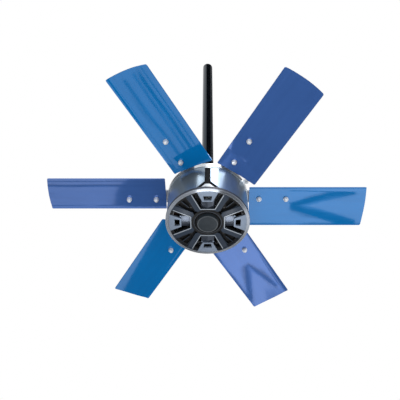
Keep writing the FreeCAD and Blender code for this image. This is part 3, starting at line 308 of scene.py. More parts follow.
def grille_finish():
    """Dark grey face, black painted shade in the recesses and on the rim, and a fine moulded grain on
    both.
    """
    material, tree = start("grille_plastic")
    where = coords(tree)
    level = level_of(where)
    deep = ramp(level, FIN_FACE + SHARP, FIN_FACE + 3 * SHARP)
    rim = ramp(level, RIM_FACE + 2 * SHARP, RIM_FACE + SHARP) * (1.0 - rail_share(where))
    inside = ramp(axis_distance(tree), HUB_R + SHARP, HUB_R - SHARP)
    # black is the painted shade mask: deep floors, the rim between the rails, and the hub.
    black = tree.math("MAXIMUM", tree.math("MAXIMUM", deep, rim), inside)
    clouds = patches(where, scale=18.0)
    close(tree, {
        "Base Color": mix(black, mix(clouds, *GRILLE_GREYS), GRILLE_SHADE_BLACK),
        "Roughness": 0.4 + clouds * 0.08 + black * 0.2,
        "Normal": grain(where, count=1300.0, depth=0.00004),
        "Specular IOR Level": MOULDED_SHINE,
    })
    return material


finishes["grille_plastic"] = grille_finish()
print("grille: rim face at", RIM_FACE, "fins at", FIN_FACE)

# %% [markdown]
# ## The cap
# The cap in the middle is moulded in a slate grey. Its raised bead is a little paler than the disc
# inside it: a painted highlight along the cap's edge. It is also a little glossier. The bead could
# be a piece of its own, but it is moulded with the cap, so one finish covers both and knows the bead
# by its radius.

# %% Cap finish
BEAD_IN_R = 0.0346
BEAD_OUT_R = 0.0372
CAP_SLATES = ((0.016, 0.024, 0.032), (0.022, 0.031, 0.040))
BEAD_HIGHLIGHT_GREY = (0.085, 0.095, 0.105)


def cap_finish():
    """Slate plastic with a bead near its edge, painted paler as a highlight."""
    material, tree = start("cap_plastic")
    where = coords(tree)
    out = axis_distance(tree)
    inner_side = ramp(out, BEAD_IN_R - SHARP, BEAD_IN_R + SHARP)
    bead = inner_side * ramp(out, BEAD_OUT_R + SHARP, BEAD_OUT_R - SHARP)
    clouds = patches(where, scale=40.0)
    # The bead's paler grey is a painted highlight.
    close(tree, {
        "Base Color": mix(bead, mix(clouds, *CAP_SLATES), BEAD_HIGHLIGHT_GREY),
        "Roughness": 0.34 + clouds * 0.06 - bead * 0.08,
        "Normal": grain(where, count=1400.0, depth=0.00003),
        "Specular IOR Level": MOULDED_SHINE,
    })
    return material


finishes["cap_plastic"] = cap_finish()
print("cap bead from", BEAD_IN_R, "to", BEAD_OUT_R)

# %% [markdown]
# ## Bare metal
# The drum's shells are brushed round their axis, the ring above them and the spindle are turned,
# the cover is a casting, and the screws are plated. Each could have a shader of its own, but they
# are the same metal with different lines: long round the axis, and hundreds of them in a metre
# across it. The lines go to the roughness and a very small bump, and broad faint stains go to the
# colour.

# %% Bare metal finishes
def stains_of(where):
    """Broad faint stains, about a hand wide."""
    return patches(where, scale=9.0, detail=5.0, high=0.75)


def bare_metal(name, colour, stain, rough, stretch, lines, line_depth, metal):
    """Metal with machining lines: stretch squeezes their noise, lines is how many fit in a metre."""
    material, tree = start(name)
    stains = stains_of(coords(tree))
    brush = noise(coords(tree, stretch), lines)
    close(tree, {
        "Base Color": mix(stains, colour, stain),
        "Metallic": metal,
        "Roughness": rough + stains * 0.06 + (brush - 0.5) * 0.12,
        "Normal": bump(brush, line_depth),
    })
    return material


AROUND = (0.02, 0.02, 1.0)
for name, *values in (
    # finish, colour, stained colour, roughness, stretch, lines in a metre, their depth, share of metal
    ("shell_aluminium", (0.29, 0.37, 0.45), (0.25, 0.32, 0.39), 0.32, AROUND, 700.0, 0.00001, 0.8),
    ("ring_aluminium", (0.74, 0.78, 0.82), (0.66, 0.70, 0.74), 0.3, AROUND, 900.0, 0.00001, 1.0),
    ("cast_aluminium", (0.60, 0.62, 0.64), (0.48, 0.50, 0.52), 0.44, EVEN, 420.0, 0.00012, 1.0),
    ("arm_steel", (0.66, 0.69, 0.72), (0.52, 0.55, 0.58), 0.4, EVEN, 120.0, 0.00003, 0.5),
    ("zinc_steel", (0.66, 0.68, 0.70), (0.52, 0.53, 0.53), 0.3, EVEN, 500.0, 0.00003, 1.0),
    ("bright_steel", (0.86, 0.88, 0.91), (0.76, 0.79, 0.83), 0.28, EVEN, 700.0, 0.00001, 0.45),
    ("turned_steel", (0.56, 0.57, 0.58), (0.46, 0.47, 0.48), 0.28, AROUND, 1200.0, 0.00002, 1.0),
    ("bearing_steel", (0.66, 0.66, 0.67), (0.58, 0.58, 0.59), 0.14, AROUND, 1500.0, 0.00001, 1.0),
    ("lamination_steel", (0.10, 0.105, 0.115), (0.07, 0.07, 0.075), 0.5, AROUND, 1000.0, 0.0001, 1.0),
    # copper_winding is far darker than copper: painted shade for the motor seen through the grille.
    ("copper_winding", (0.032, 0.012, 0.006), (0.018, 0.008, 0.005), 0.4, EVEN, 600.0, 0.0002, 0.6),
):
    finishes[name] = bare_metal(name, *values)
print("finishes so far:", len(finishes))

# %% [markdown]
# ### The inserts
# An insert is a bright plate in each window of the grille, with a folded neck behind it that runs
# in under the hub. The neck's colour is darkened as painted shade, the shade under the grille's
# rails, so it shows only where it catches the light. Two solids with two finishes would do, but the
# real insert is one piece. Its plate ends at a straight line, so the longer one of a point's x and y
# tells the two apart.

# %% Insert finish
INSERT_INNER = 0.0970
PLATE_TONES = ((0.28, 0.345, 0.45), (0.25, 0.31, 0.40))
NECK_SHADE_TONE = (0.050, 0.062, 0.085)


def insert_finish():
    """Satin plate with a glossy neck, darkened as painted shade."""
    material, tree = start("insert_aluminium")
    where = coords(tree)
    longer = sides_of(where)[1]
    neck = ramp(longer, INSERT_INNER + SHARP, INSERT_INNER - SHARP)
    stains = stains_of(where)
    # The neck's dark tone is painted shade.
    close(tree, {
        "Base Color": mix(neck, mix(stains, *PLATE_TONES), NECK_SHADE_TONE),
        "Metallic": 0.65 - neck * 0.05,
        "Roughness": 0.36 + stains * 0.06 - neck * 0.14,
        "Normal": grain(where, count=900.0, depth=0.00003, detail=2.0),
    })
    return material


finishes["insert_aluminium"] = insert_finish()
print("insert plates end at", INSERT_INNER)

# %% [markdown]
# ### The bezel's tones
# The bezel is one turned ring. Its upright band is left satin, and its colour is darkened as a
# painted dark reflection. Its sloping face is skimmed bright, and the ledge that carries the grille
# is painted near black as the shade under the grille's edge. The teeth above it match the drum. As
# on the grille, heights and a radius tell these places apart.

# %% Bezel finish
BEZEL_TOP = -1.2420
BEZEL_EDGE = -1.2530
BEZEL_MOUTH_R = 0.1440
BAND_REFLECTION_TONE = (0.05, 0.058, 0.075)
FACE_TONE = (0.40, 0.44, 0.50)
TOOTH_TONE = (0.62, 0.67, 0.71)
LEDGE_SHADE_TONE = (0.012, 0.013, 0.015)


def bezel_finish():
    """Satin band with a painted dark reflection, bright face and teeth, dull ledge in painted shade, all
    turned about the axis.
    """
    material, tree = start("bezel_aluminium")
    level = level_of(coords(tree))
    face = ramp(level, BEZEL_EDGE + SHARP, BEZEL_EDGE - SHARP)
    tooth = ramp(level, BEZEL_TOP - SHARP, BEZEL_TOP + SHARP)
    ledge = ramp(axis_distance(tree), BEZEL_MOUTH_R, BEZEL_MOUTH_R - SHARP)
    brush = noise(coords(tree, AROUND), scale=900.0)
    # The band's dark tone is a painted reflection, and the ledge's near black is painted shade.
    tone = mix(tooth, mix(face, BAND_REFLECTION_TONE, FACE_TONE), TOOTH_TONE)
    close(tree, {
        "Base Color": mix(ledge, tone, LEDGE_SHADE_TONE),
        "Metallic": 0.15 + face * 0.75 + tooth * 0.65,
        "Roughness": 0.5 - face * 0.22 + (brush - 0.5) * 0.12 + ledge * 0.3,
        "Normal": bump(brush, distance=0.00001),
    })
    return material


finishes["bezel_aluminium"] = bezel_finish()
print("bezel: band from", BEZEL_TOP, "to", BEZEL_EDGE)

# %% [markdown]
# ## Blue paint
# The blades are sheet metal under gloss paint, in two close blues that alternate round the hub.
# Thin sheet is never quite flat, so reflections in it wander. The mesh could be dented for that,
# but a broad shallow bump is enough. It fades out towards the root, where the arm holds the sheet
# flat. Faint streaks of colour run along the blade and soft clouds lie on it, partly rolled-on paint
# and partly painted reflection: each blade has its own copy of the paint, with the coordinates
# turned by the blade's angle. The violet blue holds more metal flake, so it mirrors more in its own
# colour.

# %% Blade paint
BLADES = 6
BLADE_STEP = math.radians(360 / BLADES)
PAINTS = (
    # slot, colour, deeper colour, share of flake
    ("blade_blue", (0.002, 0.200, 0.575), (0.002, 0.180, 0.52), 0.18),
    ("blade_violet_blue", (0.069, 0.186, 0.560), (0.062, 0.168, 0.510), 0.38),
)
HELD_R = 0.16
LOOSE_R = 0.42
WAVE_DEPTH = 0.004
RIPPLE_SHARE = 0.025
PEEL_SHARE = 0.0003


def blade_paint(number):
    """Gloss paint for one blade, with colour streaks and clouds that are partly painted reflection, and
    slow waves in its gloss.
    """
    slot, colour, deep, flake = PAINTS[number % len(PAINTS)]
    material, tree = start(f"{slot}_{number + 1}")

    def along(stretch):
        """Coordinates turned into the blade's direction and stretched along it."""
        return coords(tree, (stretch, 1.0, 1.0), -BLADE_STEP * number)

    streaks_and_reflections = patches(along(0.08), scale=60.0, detail=3.0, low=0.4)
    clouds = patches(along(0.45), scale=11.0, detail=3.0, low=0.3)
    loose = ramp(axis_distance(tree), HELD_R, LOOSE_R)
    wave = (noise(along(0.5), scale=7.0, detail=1.0) - 0.5) * loose
    ripple = noise(along(0.06), scale=40.0, detail=1.0)
    peel = noise(coords(tree), scale=700.0, detail=1.0)
    # The streaks and clouds in the colour are partly uneven paint and partly painted reflection.
    close(tree, {
        "Base Color": mix(clouds * 0.6 + streaks_and_reflections * 0.4, colour, deep),
        "Metallic": flake,
        "Roughness": 0.08 + clouds * 0.03,
        "Normal": bump(wave + ripple * RIPPLE_SHARE + peel * PEEL_SHARE, WAVE_DEPTH),
        "Coat Weight": 0.8,
        "Coat Roughness": 0.05,
    })
    return material


paints = [blade_paint(number) for number in range(BLADES)]
print("blade paints:", [paint.name for paint in paints])

# %% [markdown]
# ## Dress the solids
# Most of the fan's pieces are turned, cast or folded metal whose solid already has the right shape.
# They could be modelled again, but nothing would be gained. They stay, and each gets the finish
# that its slot in the record names.

# %% Give each solid its finish
slot_of = {}
for name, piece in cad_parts.items():
    slot_of[name] = piece.material_slots[0].material.name.split(".")[0]
    if slot_of[name] in finishes:
        piece.material_slots[0].material = finishes[slot_of[name]]
undressed = [name for name in slot_of if slot_of[name] not in finishes]
print("dressed:", len(slot_of) - len(undressed), "left for the paint:", undressed)

# %% [markdown]
# ## Tools for modelling by hand
# The new pieces start as primitives and are shaped with the operators that a modeller would call.
# An operator acts on whatever is selected, so these helpers select one object, or just the part
# of a mesh that passes a test of place. They could also be picked by number, but a number changes
# with every cut, and a place doesn't.

# %% Select and edit
MM = 0.001
NEAR = 0.05 * MM


def only(piece):
    """Leave just this object selected and active."""
    bpy.ops.object.select_all(action="DESELECT")
    piece.select_set(True)
    bpy.context.view_layer.objects.active = piece


def pick(piece, test, kind="verts"):
    """In edit mode, select exactly the vertices, edges or faces whose middle passes the test."""
    bpy.ops.mesh.select_mode(type={"verts": "VERT", "edges": "EDGE", "faces": "FACE"}[kind])
    bpy.ops.mesh.select_all(action="DESELECT")
    bpy.ops.object.mode_set(mode="OBJECT")
    mesh = piece.data
    if kind == "verts":
        for vertex in mesh.vertices:
            vertex.select = test(vertex.co)
    elif kind == "edges":
        for edge in mesh.edges:
            ends = [mesh.vertices[v].co for v in edge.vertices]
            edge.select = test((ends[0] + ends[1]) / 2)
    else:
        for face in mesh.polygons:
            face.select = test(face.center)
    bpy.ops.object.mode_set(mode="EDIT")


def edit_all(piece):
    """Open a mesh for editing, with all of it selected."""
    only(piece)
    bpy.ops.object.mode_set(mode="EDIT")
    bpy.ops.mesh.select_all(action="SELECT")


def face_out(piece):
    """Turn every face of a mesh outwards."""
    edit_all(piece)
    bpy.ops.mesh.normals_make_consistent(inside=False)
    bpy.ops.object.mode_set(mode="OBJECT")


print("points within", NEAR, "m of a line count as on it")

# %% [markdown]
# ### Tools for finishing
# A modifier is added, set and applied, so that the finished mesh holds its result. Sharp edges are
# broken by a small bevel, as they are with a file on the real sheet. Plain smooth shading would
# bend the light on the large faces beside such a bevel. It is weighted by area instead, which keeps
# a large face true right up to its edge, and that matters on paint that mirrors.

# %% Finish a mesh
SMOOTH_ANGLE = math.radians(35)


def apply(piece, kind, **settings):
    """Add a modifier, set it and apply it."""
    only(piece)
    made = piece.modifiers.new(kind, kind)
    for key, value in settings.items():
        setattr(made, key, value)
    bpy.ops.object.modifier_apply(modifier=made.name)


def break_edges(piece, width, segments, least_turn):
    """Bevel the edges at which the surface turns by more than so many degrees."""
    limit = math.radians(least_turn)
    apply(piece, "BEVEL", width=width, segments=segments, limit_method="ANGLE", angle_limit=limit)


def smooth(piece):
    """Shade smooth over small bevels, with large faces kept true to their own direction."""
    only(piece)
    bpy.ops.object.shade_smooth_by_angle(angle=SMOOTH_ANGLE)
    apply(piece, "WEIGHTED_NORMAL", keep_sharp=True)


print("edges under", round(math.degrees(SMOOTH_ANGLE)), "degrees are shaded smooth")

# %% [markdown]
# ## The blades
# A blade is a sheet of metal with a flat land in the middle, where the arm bolts on, a tight bend
# along its leading edge and a long gentle one along its trailing edge. It could be cut out of a
# block, but a press brake bends it from flat sheet, and so does this cell: a grid is the land, and
# a spin about each bend's axis rolls its long edge down.

# %% Bend one blade
ROOT_R = 159.5 * MM
SWEEP_R = 610 * MM
LAND = 30 * MM
LEAD_EDGE = 51 * MM
TRAIL_EDGE = 114 * MM
LEAD_BEND_R = 70 * MM
TRAIL_BEND_R = 420 * MM
BENDS = (
    # side of the land, where the edge ends up, radius of the bend, steps
    (1, TRAIL_EDGE, TRAIL_BEND_R, 12),
    (-1, LEAD_EDGE, LEAD_BEND_R, 8),
)
bpy.ops.object.select_all(action="DESELECT")
bpy.ops.mesh.primitive_grid_add(x_subdivisions=12, y_subdivisions=4, size=1.0)
blade = bpy.context.object
blade.name = "blade_sheet"
bpy.ops.object.mode_set(mode="EDIT")
bpy.ops.transform.resize(value=(SWEEP_R - ROOT_R, 2 * LAND, 1.0))
bpy.ops.transform.translate(value=((SWEEP_R + ROOT_R) / 2, 0.0, 0.0))
for side, edge, bend_r, steps in BENDS:
    pick(blade, lambda co: co.y * side > LAND - NEAR, "edges")
    bend = math.asin((edge - LAND) / bend_r)
    axis_at = (0.0, side * LAND, -bend_r)
    bpy.ops.mesh.spin(steps=steps, angle=side * bend, center=axis_at, axis=(1.0, 0.0, 0.0))
bpy.ops.mesh.select_all(action="SELECT")
bpy.ops.mesh.remove_doubles(threshold=NEAR)
bpy.ops.object.mode_set(mode="OBJECT")
rows = sorted({round(v.co.y, 6) for v in blade.data.vertices})
print("blade rows:", len(rows), "from", rows[0], "to", rows[-1], "faces:", len(blade.data.polygons))

# %% [markdown]
# ### Trim the tip and round the corners
# The tip is cut to the circle that the fan sweeps. A boolean with a large cylinder would do it, but
# it leaves ragged faces, so each row of tip vertices moves back to the circle instead. A vertex
# bevel then rounds the four corners.

# %% Trim the blade
BLADE_CORNER_R = 5 * MM


def tip_at(row):
    """How far out the sweep circle is on a row of the blade."""
    return math.sqrt(SWEEP_R ** 2 - row ** 2)


def is_corner(co):
    """Whether a point of the sheet is one of its four corners."""
    on_long_edge = abs(co.y - rows[0]) < NEAR or abs(co.y - rows[-1]) < NEAR
    return on_long_edge and (co.x < ROOT_R + NEAR or co.x > tip_at(co.y) - NEAR)


bpy.ops.object.mode_set(mode="EDIT")
for row in rows:
    pick(blade, lambda co: co.x > SWEEP_R - NEAR and abs(co.y - row) < NEAR)
    bpy.ops.transform.translate(value=(tip_at(row) - SWEEP_R, 0.0, 0.0))
pick(blade, is_corner)
bpy.ops.mesh.bevel(offset=BLADE_CORNER_R, segments=4, affect="VERTICES", clamp_overlap=False)
bpy.ops.object.mode_set(mode="OBJECT")
face_out(blade)
print("trimmed blade faces:", len(blade.data.polygons))

# %% [markdown]
# ### Thicken and drill it
# Solidify makes 3 mm sheet of the surface. Two holes take the bolts, and as in a workshop they are
# drilled: a cylinder is taken away at each place. A small bevel takes the sharpness off the sheared
# edges, so that they catch a line of light.

# %% Finish the blade
SHEET = 3 * MM
BOLT_RADII = (198 * MM, 302 * MM)
BOLT_HOLE_R = 5.25 * MM
SHEAR_BREAK = 0.8 * MM
apply(blade, "SOLIDIFY", thickness=SHEET, offset=0.0)
face_out(blade)
for bolt_r in BOLT_RADII:
    bpy.ops.object.select_all(action="DESELECT")
    bpy.ops.mesh.primitive_cylinder_add(
        vertices=24, radius=BOLT_HOLE_R, depth=8 * SHEET, location=(bolt_r, 0.0, 0.0)
    )
    drill = bpy.context.object
    apply(blade, "BOOLEAN", operation="DIFFERENCE", object=drill, solver="EXACT")
    bpy.data.objects.remove(drill)
break_edges(blade, SHEAR_BREAK, segments=2, least_turn=50)
smooth(blade)
print("blade faces:", len(blade.data.polygons))

# %% [markdown]
# ### Pitch it and copy it round the hub
# The blade is turned 8 degrees about its own length, so that it pushes air, and lowered to its
# place under the arms. In edit mode and without a window, a rotation turns the other way round, so
# its angle is given with the other sign. An array modifier could repeat the blade, but then the six
# would be one piece. They are copies, turned in steps of 60 degrees, each with a mesh of its own.

# %% Place the six blades
def turn_mesh(piece, angle, axis):
    """Turn a whole mesh about an axis of the frame, anticlockwise when looking against it."""
    edit_all(piece)
    bpy.ops.transform.rotate(value=-angle, orient_axis=axis, center_override=(0.0, 0.0, 0.0))
    bpy.ops.object.mode_set(mode="OBJECT")


def shift_mesh(piece, step):
    """Move a whole mesh."""
    edit_all(piece)
    bpy.ops.transform.translate(value=step)
    bpy.ops.object.mode_set(mode="OBJECT")


def copies(piece, names, step):
    """The piece under the first name, and copies of it turned by one step more each."""
    made = [piece]
    for _ in names[1:]:
        only(piece)
        bpy.ops.object.duplicate(linked=False)
        made.append(bpy.context.object)
    for number, (one, name) in enumerate(zip(made, names)):
        one.name = name
        one.data.name = name
        if number:
            turn_mesh(one, number * step, "Z")
    return made


PITCH = math.radians(8)
BLADE_Z = -1108 * MM
turn_mesh(blade, -PITCH, "X")
shift_mesh(blade, (0.0, 0.0, BLADE_Z))
blades = copies(blade, [f"sheet_blade_{n + 1}" for n in range(BLADES)], BLADE_STEP)
print("blades:", [piece.name for piece in blades])

# %% [markdown]
# ### Hang the blades on the rotor
# Each sheet stands for one solid blade, moves with the rotor and gets its own copy of the paint.
# One sheet's box is set beside its solid's, to see that it is in the same place.

# %% Paint the blades
for number, piece in enumerate(blades):
    piece.data.materials.clear()
    piece.data.materials.append(paints[number])
    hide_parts(f"blade_{number + 1}")
    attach(piece, "rotor")
low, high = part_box("blade_2")
spots = [v.co for v in blades[1].data.vertices]
print("blade_2 solid:", rounded((*low, *high), 4))
print("blade_2 sheet:", rounded((end(p[i] for p in spots) for end in (min, max) for i in range(3)), 4))

# %% [markdown]
# ## The centre cap
# The cap that closes the hub is a shallow moulded button: a round edge, a bead just inside it, and
# a slightly crowned disc sunk behind the bead. It could be spun from a profile. Insets do it in
# fewer steps: each one draws a smaller circle on the face of a cylinder, and a small move makes it
# a step. The corner is rounded last.

# %% Model the cap
CAP_R = 39 * MM
CAP_FACE = -1265 * MM
CAP_SEAT = -1248.5 * MM
CAP_ROUND = 2.2 * MM
CAP_BREAK = 0.2 * MM
CAP_STEPS = (
    # how far in, how far up
    (2.4 * MM, 0.0),
    (1.6 * MM, 0.0),
    (0.5 * MM, 0.9 * MM),
    (14.0 * MM, -0.4 * MM),
    (13.0 * MM, -0.2 * MM),
)
bpy.ops.object.select_all(action="DESELECT")
bpy.ops.mesh.primitive_cylinder_add(
    vertices=96, radius=CAP_R, depth=CAP_SEAT - CAP_FACE, location=(0.0, 0.0, (CAP_SEAT + CAP_FACE) / 2)
)
cap = bpy.context.object
cap.name = cap.data.name = "moulded_cap"
bpy.ops.object.transform_apply(location=True, rotation=True, scale=True)
bpy.ops.object.mode_set(mode="EDIT")
pick(cap, lambda co: co.z < CAP_FACE + NEAR, "faces")
for width, rise in CAP_STEPS:
    bpy.ops.mesh.inset(thickness=width, depth=0.0)
    bpy.ops.transform.translate(value=(0.0, 0.0, rise))
pick(cap, lambda co: co.z < CAP_FACE + NEAR and co.xy.length > CAP_R - MM, "edges")
bpy.ops.mesh.bevel(offset=CAP_ROUND, segments=5, affect="EDGES")
bpy.ops.object.mode_set(mode="OBJECT")
break_edges(cap, CAP_BREAK, segments=2, least_turn=30)
smooth(cap)
cap.data.materials.clear()
cap.data.materials.append(finishes["cap_plastic"])
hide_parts("centre_cap")
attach(cap, "rotor")
print("cap faces:", len(cap.data.polygons), "solid box:", [rounded(p, 4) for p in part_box("centre_cap")])

# %% [markdown]
# ### The ring round the cap
# A thin slate-grey ring lines the edge of the hub's mouth. A torus would be quicker, but the real
# one is flat. So a circle is drawn, its edge is extruded outward to make a flat washer, Solidify
# gives it its height, and a bevel rounds it.

# %% Model the hub ring
HUB_RING_R = 49.8 * MM
HUB_RING_W = 1.5 * MM
HUB_RING_T = 0.8 * MM
HUB_RING_ROUND = 0.3 * MM
HUB_FACE = -1254 * MM
bpy.ops.object.select_all(action="DESELECT")
bpy.ops.mesh.primitive_circle_add(
    vertices=128, radius=HUB_RING_R, fill_type="NOTHING", location=(0.0, 0.0, HUB_FACE)
)
hub_ring = bpy.context.object
hub_ring.name = hub_ring.data.name = "hub_ring"
bpy.ops.object.transform_apply(location=True, rotation=True, scale=True)
edit_all(hub_ring)
bpy.ops.mesh.extrude_edges_move()
grow = 1.0 + HUB_RING_W / HUB_RING_R
bpy.ops.transform.resize(value=(grow, grow, 1.0))
bpy.ops.object.mode_set(mode="OBJECT")
face_out(hub_ring)
apply(hub_ring, "SOLIDIFY", thickness=HUB_RING_T, offset=0.0)
shift_mesh(hub_ring, (0.0, 0.0, -HUB_RING_T / 2))
break_edges(hub_ring, HUB_RING_ROUND, segments=3, least_turn=40)
smooth(hub_ring)
hub_ring.data.materials.append(finishes["ring_grey"])
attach(hub_ring, "rotor")
print("hub ring faces:", len(hub_ring.data.polygons))

# %% [markdown]
# ## Floor, backdrop and light
# The fan is photographed against white. The floor is a plain pale one far below it. The world is
# white for what the camera sees directly and for what metal reflects, and a little lower for the
# light it casts, because the lamps add the rest. Together they light a white card to about white,
# so that colours come out as they are written.

# %% Floor and world
FLOOR_Z = -4.6
FLOOR_SIZE = 60.0
FLOOR_TONES = ((0.80, 0.80, 0.80), (0.76, 0.76, 0.77))
FILL = 0.85


def floor_finish():
    """Pale matt floor with a faint trowelled mottle."""
    material, tree = start("studio_floor")
    mottle = patches(coords(tree), scale=1.3, low=0.3)
    close(tree, {"Base Color": mix(mottle, *FLOOR_TONES), "Roughness": 0.8 + mottle * 0.1})
    return material


bpy.ops.object.select_all(action="DESELECT")
bpy.ops.mesh.primitive_plane_add(size=FLOOR_SIZE, location=(0.0, 0.0, FLOOR_Z))
floor = bpy.context.object
floor.name = "studio_floor"
floor.data.materials.append(floor_finish())
floor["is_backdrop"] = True

world = bpy.data.worlds.new("studio")
bpy.context.scene.world = world
world.use_nodes = True
world.node_tree.nodes.clear()
sky = Wire(world.node_tree)
rays = sky.node("LightPath", out="Is Camera Ray")
glossy = Wire(sky.tree, rays.socket.node.outputs["Is Glossy Ray"])
through = Wire(sky.tree, rays.socket.node.outputs["Is Transmission Ray"])
seen = sky.math("MINIMUM", rays + glossy + through, 1.0)
light = sky.node("Background", sockets={"Color": (*WHITE, 1.0), "Strength": FILL + seen * (1.0 - FILL)})
sky.node("OutputWorld", sockets={"Surface": light})
print("floor at", FLOOR_Z, "fill", FILL)

# %% [markdown]
# ### Lamps
# One lamp stands high in front and comes through the gap between two blades. One lies low behind
# the fan and one low in front, where a photographer would put them to show the undersides. Three
# very small ones sit right beside the drum, under the roots of the blades, and draw the bright
# strips on its wall. Three more lie just under the drum: one lights the top of the bezel, and two
# light the necks of the side inserts. One strong lamp could light it all, but a curved shiny wall
# shows each lamp as a strip of its own, so small lamps place the strips one by one.

# %% Lamps
HUB = Vector((0.0, 0.0, -1.15))
UP = Vector((0.0, 0.0, 1.0))
LOW = -3.3
HIGH_FRONT = (0.34, -1.15, 0.15)
LAMPS = (
    # lamp, place, direction, size, watts, turn in degrees
    ("high_front_lamp", HIGH_FRONT, HUB - Vector(HIGH_FRONT), (0.5, 0.5), 5.0, 0),
    ("low_back_lamp", (1.25, 1.22, LOW), UP, (2.4, 2.05), 10.5, 0),
    ("low_front_lamp", (0.0, -2.5, LOW), UP, (3.4, 2.4), 30.0, 0),
    ("drum_lamp_right", (0.040, -0.195, -1.117), -UP, (0.045, 0.09), 0.05, 25),
    ("drum_lamp_soft", (0.077, -0.188, -1.12), -UP, (0.032, 0.08), 0.021, 25),
    ("drum_lamp_left", (-0.042, -0.19, -1.15), -UP, (0.035, 0.055), 0.017, -37),
    ("bezel_lamp", (0.0, -0.13, -1.315), UP, (0.09, 0.012), 0.019, 0),
    ("neck_lamp_left", (-0.083, -0.008, -1.31), UP, (0.03, 0.02), 0.016, 0),
    ("neck_lamp_right", (0.083, -0.008, -1.31), UP, (0.03, 0.02), 0.018, 0),
)


def soft_lamp(name, place, direction, size, power, turn):
    """A rectangular area lamp, turned on its own axis, that the camera looks through."""
    bpy.ops.object.light_add(type="AREA", location=place)
    lamp = bpy.context.object
    lamp.name = name
    lamp.visible_camera = False
    lamp.data.shape = "RECTANGLE"
    lamp.data.size, lamp.data.size_y = size
    lamp.data.energy = power
    facing = direction.to_track_quat("-Z", "Y")
    lamp.rotation_euler = (facing @ Quaternion((0.0, 0.0, 1.0), math.radians(turn))).to_euler()


for row in LAMPS:
    soft_lamp(*row)
print("lamps:", len(LAMPS))

# %% [markdown]
# ### Dark cards
# Shiny things are shaped by what they mirror. A photographer hangs black cards where a reflection
# should be dark, and thin strips where it should show a line. The lines could be painted on the
# blades, but then they would turn with the rotor, and a reflection stays where it is. Only mirror
# rays see the cards: they cast no shadow and the camera looks through them.

# %% Make a card
def card_finish(name, deep, pale):
    """Matt board, with a little unevenness."""
    material, tree = start(name)
    cloud = patches(coords(tree), scale=3.0, detail=2.0, low=0.3)
    close(tree, {"Base Color": mix(cloud, deep, pale), "Roughness": 0.9})
    return material


def dark_card(finish, name, start_at, end_at, width, level):
    """A level card along the line between two points, seen by mirror rays only."""
    bpy.ops.object.select_all(action="DESELECT")
    run = Vector(end_at) - Vector(start_at)
    middle = (Vector(end_at) + Vector(start_at)) / 2
    turn = math.atan2(run.y, run.x)
    bpy.ops.mesh.primitive_plane_add(size=1.0, location=(*middle, level), rotation=(0.0, 0.0, turn))
    card = bpy.context.object
    card.name = name
    card.scale = (run.length, width, 1.0)
    bpy.ops.object.transform_apply(location=True, rotation=True, scale=True)
    card.data.materials.append(finish)
    for kind in ("camera", "diffuse", "shadow", "transmission"):
        setattr(card, "visible_" + kind, False)
    card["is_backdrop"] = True


card_black = card_finish("card_black", (0.012, 0.013, 0.015), (0.02, 0.021, 0.024))
card_grey = card_finish("card_grey", (0.26, 0.26, 0.27), (0.30, 0.30, 0.31))
print("card boards:", card_black.name, card_grey.name)

# %% [markdown]
# ### Cards for the blades
# Most of these lie low, just above the low lamps. A card down there is mirrored large and soft.
# Some hang nearer, just under the blades, where their edges are mirrored crisply. A blade's flat
# land and its trailing bend both mirror such a strip, once each, so one slanted strip shows as a
# fork.

# %% Cards for the blades
JUST_ABOVE = LOW + 0.01
UNDER_BLADES = -1.5
BLADE_CARDS = (
    # card, start, end, width, height
    ("card_blade_6", (-0.64, 0.84), (-0.42, 0.46), 0.66, JUST_ABOVE),
    ("card_blade_6_edge", (0.121, 0.035), (0.354, -0.373), 0.275, UNDER_BLADES),
    ("card_blade_3", (-0.4, 3.34), (2.2, 3.34), 1.52, JUST_ABOVE),
    ("card_blade_3_edge", (-0.95, 2.19), (0.0, 2.19), 0.42, JUST_ABOVE),
    ("card_blade_3_root", (-0.68, 1.765), (0.1, 1.765), 0.43, JUST_ABOVE),
    ("card_blade_4_root", (-0.5, 2.4), (-0.95, 7.5), 0.65, JUST_ABOVE),
    ("strip_blade_5_land", (-0.212, 0.185), (-0.451, -0.216), 0.016, UNDER_BLADES),
    ("strip_blade_5_mid", (-1.13, 2.38), (-1.61, 1.52), 0.26, JUST_ABOVE),
    ("strip_blade_5_edge", (-1.42, 2.76), (-1.97, 1.80), 0.13, JUST_ABOVE),
    ("strip_blade_1_fork", (0.372, 0.185), (0.66, 0.112), 0.034, UNDER_BLADES),
    ("strip_blade_1_edge", (0.25, 0.12), (1.3, 0.12), 0.12, JUST_ABOVE),
    ("strip_blade_2_fork", (0.283, 0.63), (0.447, 0.785), 0.02, UNDER_BLADES),
    ("strip_blade_2_edge", (1.27, 1.33), (1.70, 2.0), 0.1, JUST_ABOVE),
    ("strip_blade_4_one", (-3.0, 4.25), (-0.5, 4.25), 0.6, JUST_ABOVE),
    ("strip_blade_4_two", (-3.5, 6.0), (-0.6, 6.0), 0.5, JUST_ABOVE),
)
for row in BLADE_CARDS:
    dark_card(card_black, *row)
print("cards for the blades:", len(BLADE_CARDS))

# %% [markdown]
# ### Cards for the drum and the rod
# These two stand upright, so from below they mirror what is overhead. Four black cards up there
# keep them dark, one more hangs right beside the drum, and a grey one gives the rod the soft
# lighter band on its right.

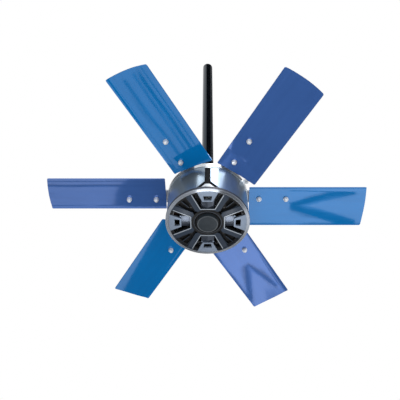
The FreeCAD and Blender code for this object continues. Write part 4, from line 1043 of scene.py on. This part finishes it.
# %% Cards for the drum and the rod
OVERHEAD = 0.25
JUST_BELOW = OVERHEAD - 0.01
BESIDE_DRUM = -1.138
DRUM_CARDS = (
    # card, start, end, width, height
    ("card_drum_left", (-0.115, -0.132), (0.001, -0.2375), 0.07, BESIDE_DRUM),
    ("card_overhead_front", (0.217, -0.125), (-0.258, -0.948), 0.5, OVERHEAD),
    ("card_overhead_near", (0.0, -0.35), (1.0, -0.35), 1.2, OVERHEAD),
    ("card_overhead_right", (1.0, 1.525), (4.0, 1.525), 4.95, OVERHEAD),
    ("card_overhead_left", (-4.0, 1.5), (-0.85, 1.5), 5.0, OVERHEAD),
)
for row in DRUM_CARDS:
    dark_card(card_black, *row)
dark_card(card_grey, "card_rod_right", (0.183, 0.411), (1.05, 0.025), 0.9, JUST_BELOW)
print("cards for the drum and the rod:", len(DRUM_CARDS) + 1)

# %% [markdown]
# ## Camera
# The camera looks up at the fan at about 53 degrees. Its angle and lens follow from the photograph:
# the bolts, the drum's rim and the grille's ellipse give the tilt, and how much the far blades
# shrink gives the distance. The lens and the shift are worked out for a picture of 400 by 400
# pixels, with the fan's axis a little right of the middle.

# %% Camera
PICTURE = 400.0
LOOK_UP = math.radians(52.71)
FOCAL_PX = 648.46
AXIS_PX = 207.65
AIM_BELOW_BLADES = 8.96 * MM
REACH = 2.5
SENSOR = 36.0
target = Vector((0.0, 0.0, BLADE_Z - AIM_BELOW_BLADES))
look = Vector((0.0, math.cos(LOOK_UP), math.sin(LOOK_UP)))
bpy.ops.object.camera_add(location=target - REACH * look, rotation=(math.pi / 2 + LOOK_UP, 0.0, 0.0))
camera = bpy.context.object
camera.data.sensor_width = SENSOR
camera.data.lens = FOCAL_PX / PICTURE * SENSOR
camera.data.shift_x = (PICTURE / 2 - AXIS_PX) / PICTURE
bpy.context.scene.camera = camera
bpy.context.scene.view_settings.view_transform = "Standard"
print("camera at", rounded(camera.location), "lens", round(camera.data.lens, 2))

# %% [markdown]
# ## Compare sizes and finish
# The dressed model must be as large as the frame, so both boxes are written down.

# %% Sizes and finish
low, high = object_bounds()
print("visual box from", rounded(low), "to", rounded(high))
